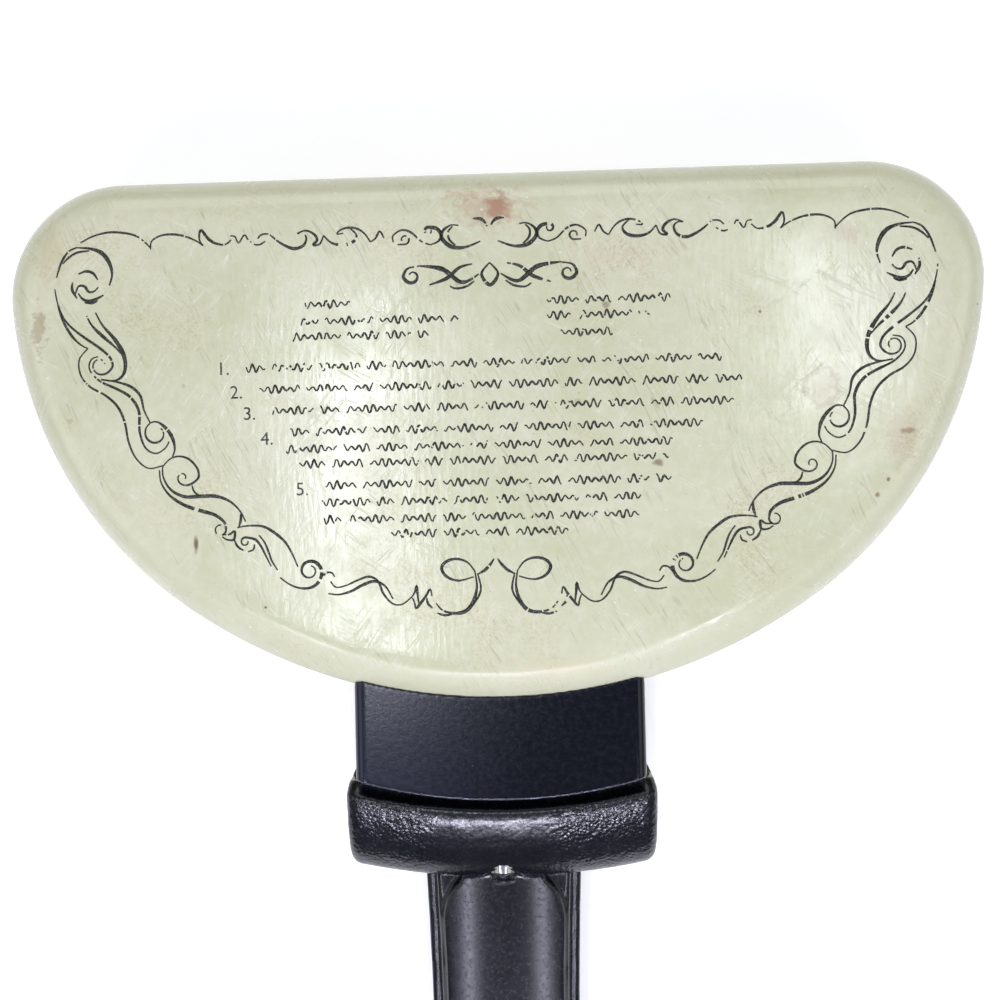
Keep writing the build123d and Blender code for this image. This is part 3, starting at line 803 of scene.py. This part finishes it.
def grown(source, tree, name, **values):
    """Runs a tree on an object with the values of its named inputs, and keeps the result as a plain mesh."""
    modifier = source.modifiers.new(tree.name, "NODES")
    modifier.node_group = tree
    sockets = {item.name: item.identifier for item in tree.interface.items_tree if item.in_out == "INPUT"}
    for label, value in values.items():
        modifier[sockets[label.replace("_", " ")]] = value
    return plain_result(source, name)


def turned_lens(tree, radius, rise, rings):
    """A round lens with a domed top and a flat underside, from a grid wound round the Z axis."""
    grid = put(tree, "GeometryNodeMeshGrid", {"Size X": 1.0, "Size Y": 1.0, "Vertices X": rings,
                                              "Vertices Y": LENS_SIDES})
    spot = put(tree, "ShaderNodeSeparateXYZ", {0: put(tree, "GeometryNodeInputPosition").outputs[0]}).outputs
    slide = times(tree, plus(tree, spot[0], 0.5), pi)
    turn = times(tree, plus(tree, spot[1], 0.5), 2 * pi)
    reach = times(tree, maths(tree, "POWER", maths(tree, "SINE", slide), 0.8), radius)
    rising = maths(tree, "MAXIMUM", maths(tree, "COSINE", slide), 0.0)
    place = put(tree, "ShaderNodeCombineXYZ", {
        0: times(tree, reach, maths(tree, "COSINE", turn)),
        1: times(tree, reach, maths(tree, "SINE", turn)),
        2: times(tree, maths(tree, "POWER", rising, 0.7), rise)})
    wound = put(tree, "GeometryNodeSetPosition", {"Geometry": grid.outputs[0], "Position": place.outputs[0]})
    return put(tree, "GeometryNodeMergeByDistance", {"Geometry": wound.outputs[0],
                                                     "Distance": 0.003 * MM}).outputs[0]


def shifted(tree, geometry, height, turn=0.0):
    """Geometry turned about X and then lifted along Z."""
    lift = put(tree, "ShaderNodeCombineXYZ", {2: height}).outputs[0]
    return put(tree, "GeometryNodeTransform", {"Geometry": geometry, "Translation": lift,
                                               "Rotation": (turn, 0, 0)}).outputs[0]


def rivet_tree():
    """A rivet at each point, along its axis: a domed outer head, a shank and a flatter inner head."""
    tree, given, out = geometry_tree("domed_rivets", [
        ("Head Radius", FLOAT, 0.003), ("Head Rise", FLOAT, 0.001), ("Inner Rise", FLOAT, 0.0008),
        ("Shank Radius", FLOAT, 0.0016), ("Outer Seat", FLOAT, 0.001), ("Inner Seat", FLOAT, -0.0016)])
    outer = shifted(tree, turned_lens(tree, given["Head Radius"], given["Head Rise"], OUTER_RINGS),
                    given["Outer Seat"])
    inner = shifted(tree, turned_lens(tree, given["Head Radius"], given["Inner Rise"], INNER_RINGS),
                    given["Inner Seat"], pi)
    span = maths(tree, "SUBTRACT", given["Outer Seat"], given["Inner Seat"])
    middle = times(tree, plus(tree, given["Outer Seat"], given["Inner Seat"]), 0.5)
    shank = put(tree, "GeometryNodeMeshCylinder", {"Vertices": 32, "Radius": given["Shank Radius"],
                                                   "Depth": plus(tree, span, SHANK_OVERLAP * MM)})
    joined = put(tree, "GeometryNodeJoinGeometry")
    for piece in (outer, shifted(tree, shank.outputs["Mesh"], middle), inner):
        tree.links.new(piece, joined.inputs[0])
    axis = put(tree, "GeometryNodeInputNamedAttribute", {"Name": "axis"}, data_type="FLOAT_VECTOR")
    turn = put(tree, "FunctionNodeAlignRotationToVector", {"Vector": axis.outputs[0]}, axis="Z")
    placed = put(tree, "GeometryNodeInstanceOnPoints", {"Points": given["Geometry"],
                 "Instance": joined.outputs[0], "Rotation": turn.outputs[0]})
    finish_tree(given, out, placed.outputs[0])
    return tree


def pen_tree():
    """Each path as a thin flat ribbon of ink that swells as its pen attribute says, broken by wear."""
    tree, given, out = geometry_tree("worn_pen_line", [
        ("Step", FLOAT, 0.0003), ("Wear", FLOAT, 0.4), ("Ragged", FLOAT, 0.3), ("Face", FLOAT, 0.06),
        ("Ink", FLOAT, 0.00003), ("Depth", FLOAT, 0.00005), ("Seed", FLOAT, 0.0)])
    curve = put(tree, "GeometryNodeMeshToCurve", {"Mesh": given["Geometry"]}).outputs[0]
    curve = put(tree, "GeometryNodeCurveSplineType", {"Curve": curve}, spline_type="CATMULL_ROM").outputs[0]
    curve = put(tree, "GeometryNodeResampleCurve", {"Curve": curve, "Length": given["Step"]}, mode="LENGTH")
    thread = put(tree, "GeometryNodeCurveToMesh", {"Curve": curve.outputs[0]}).outputs[0]
    place = put(tree, "GeometryNodeInputPosition").outputs[0]
    shift = put(tree, "ShaderNodeCombineXYZ", {2: given["Seed"]}).outputs[0]
    spot = put(tree, "ShaderNodeVectorMath", {0: place, 1: (1 / MM,) * 3, 2: shift},
               operation="MULTIPLY_ADD").outputs[0]
    slow = times(tree, cloud(tree, spot, 0.16, 1.0), 0.45)
    quick = times(tree, cloud(tree, spot, 0.9, 2.0), 0.55)
    gone = maths(tree, "LESS_THAN", plus(tree, slow, quick), given["Wear"])
    kept = put(tree, "GeometryNodeDeleteGeometry", {"Geometry": thread, "Selection": gone}, domain="EDGE",
               mode="ALL").outputs[0]
    curve = put(tree, "GeometryNodeMeshToCurve", {"Mesh": kept}).outputs[0]
    curve = put(tree, "GeometryNodeSetCurveNormal", {"Curve": curve}, mode="Z_UP").outputs[0]
    swell = put(tree, "GeometryNodeInputNamedAttribute", {"Name": "pen"}, data_type="FLOAT").outputs[0]
    uneven = maths(tree, "SUBTRACT", cloud(tree, spot, 1.7, 2.0), 0.5)
    uneven = plus(tree, times(tree, uneven, given["Ragged"]), 1.0)
    square = put(tree, "GeometryNodeCurvePrimitiveQuadrilateral", {"Width": 2.0, "Height": 2.0}).outputs[0]
    ribbon = put(tree, "GeometryNodeCurveToMesh", {
        "Curve": curve, "Profile Curve": square, "Scale": times(tree, swell, uneven),
        "Fill Caps": True}).outputs[0]
    parts = put(tree, "ShaderNodeSeparateXYZ", {0: place}).outputs
    over = maths(tree, "GREATER_THAN", parts[2], given["Face"])
    low = maths(tree, "SUBTRACT", given["Face"], given["Depth"])
    thick = plus(tree, given["Depth"], given["Ink"])
    flat = put(tree, "ShaderNodeCombineXYZ", {0: parts[0], 1: parts[1], 2: maths(
        tree, "ADD", low, times(tree, over, thick))}).outputs[0]
    finish_tree(given, out, put(tree, "GeometryNodeSetPosition", {"Geometry": ribbon,
                                                                  "Position": flat}).outputs[0])
    return tree


rivet_maker = rivet_tree()
pen = pen_tree()

# Rivets, sizes in millimetres
HINGE_SPREAD = 126.0
LEAF_RIVET_SPREAD = 18.0
LEAF_RIVET_HEIGHT = 9.5
HOOD_RIVET_SPREAD = 32.0
HOOD_RIVET_HEIGHT = 14.0
LEAF_RIVET = {"Head_Radius": 2.78, "Head_Rise": 1.22, "Inner_Rise": 0.8, "Shank_Radius": 1.6,
              "Outer_Seat": 0.95, "Inner_Seat": -1.62}
HOOD_RIVET = {"Head_Radius": 3.78, "Head_Rise": 1.50, "Inner_Rise": 1.0, "Shank_Radius": 2.0,
              "Outer_Seat": 1.15, "Inner_Seat": -1.55}


def straight_wall_spot(x, height):
    """Point and outward direction on the straight wall of an upper pan."""
    return Vector((x, HINGE_Y - height * tan(DRAFT), RIM_Z + height)), Vector((0, cos(DRAFT), sin(DRAFT)))


def front_wall_spot(x, height):
    """Point and outward direction on the bowed wall of an upper pan."""
    radius = FRONT_R - height * tan(DRAFT)
    turn = -acos(x / radius)
    spot = on_circle(FRONT_C, radius, turn)
    return (Vector((spot.x, spot.y, RIM_Z + height)),
            Vector((cos(turn) * cos(DRAFT), sin(turn) * cos(DRAFT), sin(DRAFT))))


def riveted(name, half, spots, rivet, *replaced):
    """Rivets at wall spots given for the upper half, mirrored to the lower one where it is asked for."""
    side = HALVES[half]
    mesh = bpy.data.meshes.new(name + "_seats")
    mesh.from_pydata([Vector((x, y, MID_Z + side * (z - MID_Z))) * MM for (x, y, z), _ in spots], [], [])
    axes = mesh.attributes.new("axis", "FLOAT_VECTOR", "POINT")
    for index, (_, outwards) in enumerate(spots):
        axes.data[index].vector = (outwards.x, outwards.y, side * outwards.z)
    in_metres = {label: size * MM for label, size in rivet.items()}
    made = grown(linked(mesh.name, mesh), rivet_maker, name, Material=rivet_finish, **in_metres)
    made.data.shade_smooth()
    claim(made, f"{half}_half", "rivet_aluminium", *replaced)


for half in HALVES:
    pan_shell(half, [enamel_finish, coat_finish])
    handle_moulding(half)
    hood(half)
    for side in ("left", "right"):
        leaf(half, side)
    leaf_spots = [straight_wall_spot((hinge * HINGE_SPREAD + end * LEAF_RIVET_SPREAD) / 2,
                                     LEAF_RIVET_HEIGHT) for hinge in (-1, 1) for end in (-1, 1)]
    riveted(f"{half}_leaf_rivets", half, leaf_spots, LEAF_RIVET,
            f"{half}_hinge_rivets_left", f"{half}_hinge_rivets_right")
    hood_spots = [front_wall_spot(end * HOOD_RIVET_SPREAD / 2, HOOD_RIVET_HEIGHT - (RIM_Z - MID_Z))
                  for end in (-1, 1)]
    riveted(f"{half}_hood_rivets", half, hood_spots, HOOD_RIVET, f"{half}_bracket_rivets")

KEPT_FINISHES = {"hinge_pin": steel_finish, "boss": plate_finish, "screw": plate_finish}
for name, node in nodes.items():
    for word, finish in KEPT_FINISHES.items():
        if word in name:
            node.data.materials.clear()
            node.data.materials.append(finish)


# Printed ornament on the upper face: paths in millimetres, the border's left half mirrored to the right

CURL_STEPS = 6


def curled(path, eye, half_turns, closing):
    """A path run on from its last point in a scroll round its eye, anticlockwise for positive turns."""
    eye = Vector(eye)
    end = Vector(path[-1]) - eye
    made = list(path)
    steps = round(abs(half_turns) * CURL_STEPS)
    for index in range(1, steps + 1):
        swing = half_turns * index / steps
        made.append(tuple(eye + Matrix.Rotation(pi * swing, 2) @ end / (1 + closing * abs(swing))))
    return made


# Pen strokes as (widest half-width, path); every stroke thins to a hairline at both ends
HAIRLINE = 0.17
BORDER = [
    # Along the hinge side, from the corner to the middle
    (0.27, [(-95.6, 47), (-92.5, 48.5), (-88.5, 49.3), (-84, 48.8), (-81.5, 47.7), (-79, 45.4)]),
    (0.27, [(-79, 45), (-78.8, 46.8), (-77, 48), (-74.5, 48.4), (-71.5, 48), (-68.5, 46.8), (-66.6, 45.5)]),
    (0.36, [(-66.6, 45.5), (-67.5, 47), (-67.1, 49.2), (-65.5, 47.2), (-63.8, 46), (-61.5, 45.6),
            (-60, 46.7)]),
    (0.22, [(-60.2, 47.6), (-59.1, 47.4), (-58.3, 45.9), (-56.9, 47.7), (-56, 46.5), (-55, 45.8)]),
    (0.22, [(-54.7, 45.5), (-53.5, 45.3), (-52, 46.1)]),
    (0.22, [(-53.8, 46.8), (-52.8, 47.7), (-51.2, 47.8)]),
    (0.38, [(-50.9, 47.6), (-48.5, 45.6), (-45.5, 44.2), (-43.2, 44.8), (-42.4, 46.5),
            (-43.2, 47.6), (-44.6, 47.7)]),
    (0.34, [(-44.5, 47.7), (-42.5, 48.3), (-40.6, 47.4), (-39.9, 46), (-40.9, 44.9),
            (-39.3, 45.1), (-38.4, 47)]),
    (0.40, [(-38.4, 47.1), (-36.6, 45.3), (-34, 44.7), (-31.6, 45.3), (-30.7, 46.9), (-32.3, 48.6)]),
    (0.26, [(-33.8, 47.4), (-35.3, 47.3), (-34.2, 48.3), (-32, 48.7), (-30, 48.1), (-28.6, 46.9),
            (-27.5, 45.2)]),
    (0.26, [(-27.5, 45.2), (-26.3, 46), (-25.3, 47.6), (-24.3, 46)]),
    (0.26, [(-22.2, 45), (-22.2, 46.5), (-20.2, 47.7), (-18, 47.1), (-15.6, 44.9), (-13.5, 44.1)]),
    (0.24, curled([(-21.2, 44.4), (-19.4, 44.4)], (-19.5, 45.5), 1.6, 0.3)),
    (0.45, curled([(-13.5, 44.1), (-11.7, 44.9), (-11.1, 46.3), (-12, 47.8), (-13.9, 48.2)],
                  (-14, 47.3), 1.7, 0.2)),
    (0.50, [(-7, 48.4), (-8.8, 48.5), (-10.5, 47.4), (-11, 46), (-10.2, 44.6), (-8.4, 43.4),
            (-5.5, 43.3), (-2, 44.6)]),
    (0.30, [(-8.4, 48.2), (-9.4, 47), (-9.2, 45.2), (-7.8, 43.8)]),
    (0.40, [(-3.6, 49.9), (-2, 49.8), (-1, 49.1), (-0.4, 48)]),
    # The corner's great scroll with its eye
    (0.52, [(-88.9, 36.8), (-88.2, 39.5), (-88.9, 42.3), (-90.6, 44.5), (-93.3, 45.6), (-96.3, 45.9)]),
    (0.30, [(-96.3, 46), (-98.5, 45), (-100.2, 42.5), (-101.4, 39)]),
    (0.30, [(-99.9, 42.2), (-98.2, 43.8), (-96.2, 44.8), (-93.5, 45.1)]),
    (0.36, [(-96.2, 39.7), (-94.4, 40.3), (-92.7, 39.8), (-91.6, 38.2)]),
    (0.36, [(-97.6, 37.8), (-97.7, 36), (-96.6, 34)]),
    (0.32, [(-97, 35), (-96.2, 36.8), (-94.8, 36.8), (-93.8, 35.5), (-92.6, 35.5), (-91.5, 36.5)]),
    (0.42, [(-96.3, 35.2), (-95.2, 33.8), (-93.3, 33.3), (-90.3, 34.6)]),
    (0.30, [(-94.8, 33), (-93, 32.8), (-91.7, 33.4)]),
    (0.32, curled([(-101.8, 36.3), (-101.3, 33.3), (-100, 29.8), (-98.2, 27.4), (-95, 24.8), (-91.5, 22.3),
                   (-89.2, 20.2), (-88.4, 18.2)], (-91.4, 18.2), -2.2, 0.8)),
    (0.34, [(-101.2, 32.5), (-100, 28.8), (-98, 25.3), (-96, 23.2), (-94.2, 22.2)]),
    (0.42, [(-94.4, 29.9), (-93.2, 27.6), (-90.8, 25.1), (-88, 22.6), (-86.4, 20.8)]),
    (0.52, [(-92.3, 30.6), (-90.7, 27.6), (-88, 24.4), (-86.1, 21.3), (-85.4, 18.3), (-86, 15.8),
            (-88, 14.5), (-91.2, 14.9)]),
    # Down the side
    (0.36, [(-91.2, 20.3), (-93.2, 19.8), (-94, 18), (-93.2, 16.1), (-91, 14.2), (-87.6, 12.6), (-84.4, 10.6),
            (-82.4, 7.2), (-82.3, 2.5), (-81, -1.3), (-78.6, -2.7), (-76.4, -1.6), (-75.4, 0)]),
    (0.30, [(-94.2, 22.2), (-96.3, 19.6), (-96, 16), (-93.8, 13.2), (-90.2, 11.1), (-87.4, 8.4), (-85.8, 4.8),
            (-84.9, 0), (-83.2, -3.8), (-80.4, -6.1), (-77, -5.6)]),
    (0.34, [(-91, 14.8), (-87.5, 14.2), (-84.2, 13), (-82, 10.8), (-81.2, 7.5), (-79.8, 4.5)]),
    (0.28, curled([(-79.8, 4.4)], (-78.5, 1.9), 1.6, 0.4)),
    (0.44, [(-79.8, 4.5), (-78, 4.6), (-76, 3), (-74.6, 0.8), (-74.1, -1.8), (-74.7, -3.6)]),
    (0.28, curled([(-77, -5.8), (-75.4, -4.2), (-73.4, -3.5), (-71, -4.1), (-69, -6.2), (-68.6, -8.4)],
                  (-72.3, -8.4), -2.2, 2.2)),
    (0.24, [(-70.2, -10.3), (-69.7, -11.8), (-68.3, -12.9)]),
    (0.44, [(-77, -5.6), (-76.9, -8.3), (-75.2, -11.2), (-72, -12.9), (-68, -12.9), (-64.5, -13),
            (-61.3, -14.3), (-59, -16.6), (-57.8, -19)]),
    (0.44, curled([(-77.8, -6.6), (-77.4, -9.6), (-75.4, -12.6), (-72, -14.9), (-68.4, -16.2), (-65, -17.3),
                   (-62.9, -18.9), (-62.4, -20.5)], (-63.7, -20.8), -1.6, 0.1)),
    (0.32, [(-63, -21.9), (-61.6, -21.9), (-60.4, -21.2), (-60.6, -23.1), (-62.2, -23.1), (-63.3, -22.4)]),
    (0.30, [(-60.5, -23.2), (-59.7, -24.8), (-58.4, -25.7)]),
    (0.24, [(-57.3, -26), (-56.1, -25.5), (-55.8, -24.3)]),
    (0.34, [(-58.9, -16.8), (-58.9, -18.5), (-59.4, -20.3)]),
    # Along the front
    (0.34, [(-59.8, -20.4), (-57.5, -20), (-53.8, -20.2), (-51, -21.8), (-48.6, -24), (-47, -26.8),
            (-45.8, -29.7)]),
    (0.30, curled([(-52, -29.5), (-53.2, -27), (-54.3, -24.8), (-55.6, -23.2), (-57.6, -22.7)],
                  (-58, -23.7), 1.7, 0.35)),
    (0.26, [(-54.7, -22.2), (-53.4, -24), (-52.6, -26), (-51.8, -28.3), (-50.5, -30.4)]),
    (0.42, curled([(-50, -32.1), (-48, -33.6), (-45.6, -34.6), (-43, -34.6), (-41.2, -33.5), (-40.3, -31.6)],
                  (-43.1, -30.7), 2.5, 0.55)),
    (0.24, [(-40.3, -32.4), (-39.3, -31.3), (-38, -31.2), (-37.3, -32.2)]),
    (0.28, [(-38.3, -33.2), (-37, -34.6), (-34.6, -34.2), (-31.8, -33), (-29.3, -32.3), (-27.3, -33.4),
            (-26, -36.4), (-24, -38.6), (-21.8, -38.8), (-19.6, -37.2)]),
    (0.36, [(-38.9, -36), (-36.5, -36.3), (-33.6, -35.6), (-30.6, -34.1), (-28, -33.4), (-25.6, -34.6),
            (-23.9, -37.5)]),
    (0.34, [(-19.6, -37.2), (-18.9, -36.2), (-18.4, -34.6), (-18.2, -36.6), (-17.9, -38.8)]),
    (0.34, [(-19.4, -37.3), (-18.9, -38.6), (-18.6, -39.8), (-17.5, -38.6), (-16.2, -36.9), (-15.3, -35.4),
            (-14.9, -37)]),
    (0.30, [(-16.1, -37.4), (-15.8, -38.8), (-14.8, -39.8)]),
    (0.46, [(-14, -38.7), (-12.4, -40.4), (-9.6, -41.1), (-7, -40.5), (-5.3, -38.3), (-4.5, -35),
            (-4.9, -31.5)]),
    (0.30, [(-13.7, -41), (-12, -41.5), (-10.3, -41.3)]),
    (0.38, [(-4.9, -31.5), (-6.6, -29.4), (-9.2, -28.6), (-11.6, -29.3), (-12.5, -30.8), (-11.3, -32.7),
            (-8.6, -33.6), (-5.2, -32.8)]),
    (0.26, [(-5.6, -39.5), (-4, -37), (-3.6, -35), (-4.3, -32)]),
    (0.40, [(-4.2, -32.2), (-2.6, -31.3), (-1.3, -30), (-0.4, -28.7)]),
]
HEADING = [
    (0.62, [(-16.5, 39.3), (-11, 38.4), (-6.5, 35.2), (-2.5, 37)]),
    (0.42, curled([(-16.5, 39.2), (-19, 38.7), (-20, 37)], (-17.9, 36.9), 2, 0.8)),
    (0.50, [(-14, 34.8), (-10, 36.2), (-7, 38.6), (-4, 39.4)]),
    (0.30, [(-9.5, 34.6), (-8, 33.8), (-5.5, 34.2), (-3.6, 35.4)]),
]
LOZENGE = (0.45, [(0, 39.6), (1.9, 37), (0, 34.4), (-1.9, 37), (0, 39.6)])
# Waved rules in place of the printed rows, as (left, right, height on the face)
RULES = [
    (-43, -32.5, 31), (-44, -7.5, 27), (-46, -14.5, 23.5), (13, 41.5, 30.5), (13, 36.5, 27), (16, 28, 23),
    (-57, 54.5, 16.5), (-54, 57, 11.5), (-51, 57.5, 6.5), (-47, 49.5, 1.5), (-48, 43, -2.5), (-45, 40, -6),
    (-39, 40.5, -11), (-40, 34, -15), (-39.5, 33, -19), (-24, 18, -22.5),
]
RULE_PEN = 0.25
WAVE_LENGTH = 1.75
WAVE_RISE = 0.72
WAVE_VARIES = 0.5
WAVE_POINTS = 4
WORD_LENGTH = 8
WORD_VARIES = 4
WORD_TURN = 2.4
WORD_GAP = 1.6
PEN_STEP = 0.32
STEP_NUMBERS = [("1.", -64, 15.2), ("2.", -61, 9.6), ("3.", -58, 4.6), ("4.", -54, -1.3), ("5.", -46, -13.2)]
NUMBER_SIZE = 4.3
INK = 0.03
INK_DEPTH = 0.05


def waved_rules():
    """Each rule as a row of short waved lines of uneven length with small gaps."""
    made = []
    for row, (left, right, y) in enumerate(RULES):
        start = left
        turn = row
        while start < right - 1:
            turn += 1
            end = min(start + WORD_LENGTH + WORD_VARIES * sin(turn * WORD_TURN), right)
            count = max(round((end - start) * WAVE_POINTS / WAVE_LENGTH), 2)
            path = []
            for index in range(count + 1):
                x = start + (end - start) * index / count
                rise = WAVE_RISE * sin(2 * pi * x / WAVE_LENGTH) * (1 + WAVE_VARIES * sin(x + turn))
                path.append((x, y + rise))
            made.append((RULE_PEN, path))
            start = end + WORD_GAP
    return made


def pen_paths(name, strokes):
    """Paths as edges with a pen half-width at each point, thin at both ends and swelling between them."""
    points, edges, widths = [], [], []
    for swell, path in strokes:
        start = len(points)
        lengths = [0.0]
        for first, second in zip(path, path[1:]):
            lengths.append(lengths[-1] + (Vector(second) - Vector(first)).length)
        for (x, y), run in zip(path, lengths):
            points.append((x * MM, y * MM, FACE_Z * MM))
            widths.append((HAIRLINE + (swell - HAIRLINE) * sin(pi * run / lengths[-1]) ** 2) * MM)
        edges += [(index, index + 1) for index in range(start, len(points) - 1)]
    mesh = bpy.data.meshes.new(name)
    mesh.from_pydata(points, edges, [])
    mesh.attributes.new("pen", "FLOAT", "POINT").data.foreach_set("value", widths)
    return linked(name, mesh)


def mirrored_strokes(strokes):
    return strokes + [(swell, [(-x, y) for x, y in path]) for swell, path in strokes]


def printed(made):
    """Lays flat ink on the pan's slightly wavy face."""
    places, _, _ = mesh_arrays(made.data)
    for place in places:
        place[2] -= face_drop(place[0], place[1])
    set_places(made.data, places)
    claim(made, "upper_half", "enamelled_aluminium")


def pen_print(name, strokes, wear, ragged, seed):
    """Strokes printed on the face; wear is how much is rubbed away, ragged how uneven the edges are."""
    printed(grown(pen_paths(name + "_paths", strokes), pen, name, Step=PEN_STEP * MM, Wear=wear,
                  Ragged=ragged, Face=FACE_Z * MM, Ink=INK * MM, Depth=INK_DEPTH * MM, Seed=seed,
                  Material=ink_finish))


def step_number(name, words, x, y):
    """A plain step number, as thin flat figures of ink."""
    curve = bpy.data.curves.new(name, "FONT")
    curve.body = words
    curve.size = NUMBER_SIZE * MM
    curve.extrude = (INK + INK_DEPTH) / 2 * MM
    source = linked(name + "_figures", curve)
    bpy.context.view_layer.update()
    made = plain_result(source, name)
    made.data.transform(Matrix.Translation(Vector((x, y, FACE_Z + (INK - INK_DEPTH) / 2)) * MM))
    work = bmesh.new()
    work.from_mesh(made.data)
    bmesh.ops.remove_doubles(work, verts=work.verts, dist=0.001 * MM)
    bmesh.ops.recalc_face_normals(work, faces=work.faces)
    work.to_mesh(made.data)
    work.free()
    made.data.materials.clear()
    made.data.materials.append(ink_finish)
    printed(made)


pen_print("printed_border", mirrored_strokes(BORDER), wear=0.39, ragged=0.5, seed=3.0)
pen_print("printed_heading", mirrored_strokes(HEADING) + [LOZENGE], wear=0.39, ragged=0.5, seed=11.0)
pen_print("printed_rules", waved_rules(), wear=0.40, ragged=0.8, seed=27.0)
for number, row in enumerate(STEP_NUMBERS):
    step_number(f"printed_number_{number + 1}", *row)


# Stage

LAMP_HEIGHT = 1500.0
FLOOR_REACH = 3.0
FLOOR_LIFT = 0.40
WORLD_LEVEL = 0.17
HANDLE_AIM = (0, -95, 40)
PAN_AIM = (0, -20, 40)
COOL = (0.86, 0.89, 1.0)
VIOLET = (0.82, 0.82, 1.0)


def big_floor():
    """Pale floor that reads white where light falls on it and keeps the pan's shadow."""
    material, tree, shader, place = new_material("studio_floor", Roughness=0.9, Specular_IOR_Level=0.1,
                                                 Emission_Color=(1, 1, 1, 1))
    path = put(tree, "ShaderNodeLightPath").outputs
    bounced = maths(tree, "MAXIMUM", path["Is Glossy Ray"], path["Is Transmission Ray"])
    seen = maths(tree, "MAXIMUM", path["Is Camera Ray"], bounced)
    tone = mixed(tree, cloud(tree, place, 0.006), (0.90,) * 3, (0.92,) * 3)
    fill(shader, {"Base Color": tone, "Emission Strength": times(tree, seen, FLOOR_LIFT)})
    mesh = bpy.data.meshes.new("floor")
    corners = [(x * FLOOR_REACH, y * FLOOR_REACH, 0) for x, y in ((-1, -1), (1, -1), (1, 1), (-1, 1))]
    mesh.from_pydata(corners, [], [(0, 1, 2, 3)])
    mesh.materials.append(material)
    linked("floor", mesh)


def face_mirror(x, y):
    """Place at lamp height whose reflection in the upper face the camera sees at this point of the face."""
    over = LAMP_HEIGHT / (EYE.z - FACE_Z)
    return Vector((x + (x - EYE.x) * over, y + (y - EYE.y) * over, FACE_Z + LAMP_HEIGHT))


def strip_lamp(name, start, end, width, radiance, aim=None, tint=(1, 1, 1)):
    """Area lamp whose long side runs from start to end, facing straight down or at its aim."""
    start, end = Vector(start), Vector(end)
    middle = (start + end) / 2
    along = (end - start).normalized()
    back = (middle - Vector(aim)).normalized() if aim else Vector((0, 0, 1))
    back = (back - along * back.dot(along)).normalized()
    lamp = bpy.data.lights.new(name, "AREA")
    lamp.shape = "RECTANGLE"
    lamp.size = (end - start).length * MM
    lamp.size_y = width * MM
    lamp.energy = radiance * pi * lamp.size * lamp.size_y
    lamp.color = tint
    made = linked(name, lamp)
    turn = Matrix((along, back.cross(along), back)).transposed().to_4x4()
    made.matrix_world = Matrix.Translation(middle * MM) @ turn
    made.visible_camera = False


def world_light(level):
    """An even grey world that the camera itself sees as white."""
    world = bpy.data.worlds.new("studio")
    bpy.context.scene.world = world
    world.use_nodes = True
    tree = world.node_tree
    path = put(tree, "ShaderNodeLightPath").outputs
    fill(tree.nodes["Background"], {"Color": mixed(tree, path["Is Camera Ray"], (level,) * 3, (1, 1, 1)),
                                    "Strength": 1.0})


def photo_camera():
    """The camera at the eye found for the photograph, turned in the order of its turns."""
    camera = bpy.data.cameras.new("camera")
    camera.lens = LENS
    camera.shift_x = SHIFT
    camera.clip_start = 0.01
    turn = Matrix.Identity(4)
    for axis, angle in EYE_TURNS.items():
        turn = turn @ Matrix.Rotation(angle, 4, axis)
    made = linked("camera", camera)
    made.matrix_world = Matrix.Translation(EYE * MM) @ turn
    bpy.context.scene.camera = made


big_floor()
world_light(WORLD_LEVEL)
strip_lamp("face_strip_left", face_mirror(-31, 32), face_mirror(-31, -57), width=85, radiance=28, tint=COOL)
strip_lamp("face_strip_right", face_mirror(71, 44), face_mirror(80, -6), width=130, radiance=13, tint=COOL)
strip_lamp("back_box", (-350, 650, 520), (350, 650, 520), width=400, radiance=1.7, aim=HANDLE_AIM)
strip_lamp("roll_lamp", (-85, -457, 480), (95, -457, 480), width=34, radiance=80, aim=HANDLE_AIM,
           tint=VIOLET)
for side, name in ((-1, "left"), (1, "right")):
    strip_lamp(f"{name}_box", (side * 700, -350, 520), (side * 700, 250, 520), width=450, radiance=1.0,
               aim=PAN_AIM)
    strip_lamp(f"grip_strip_{name}", (side * 190, -200, 480), (side * 190, -420, 480), width=30,
               radiance=24, tint=VIOLET)
photo_camera()
bpy.context.scene.view_settings.view_transform = "Standard"
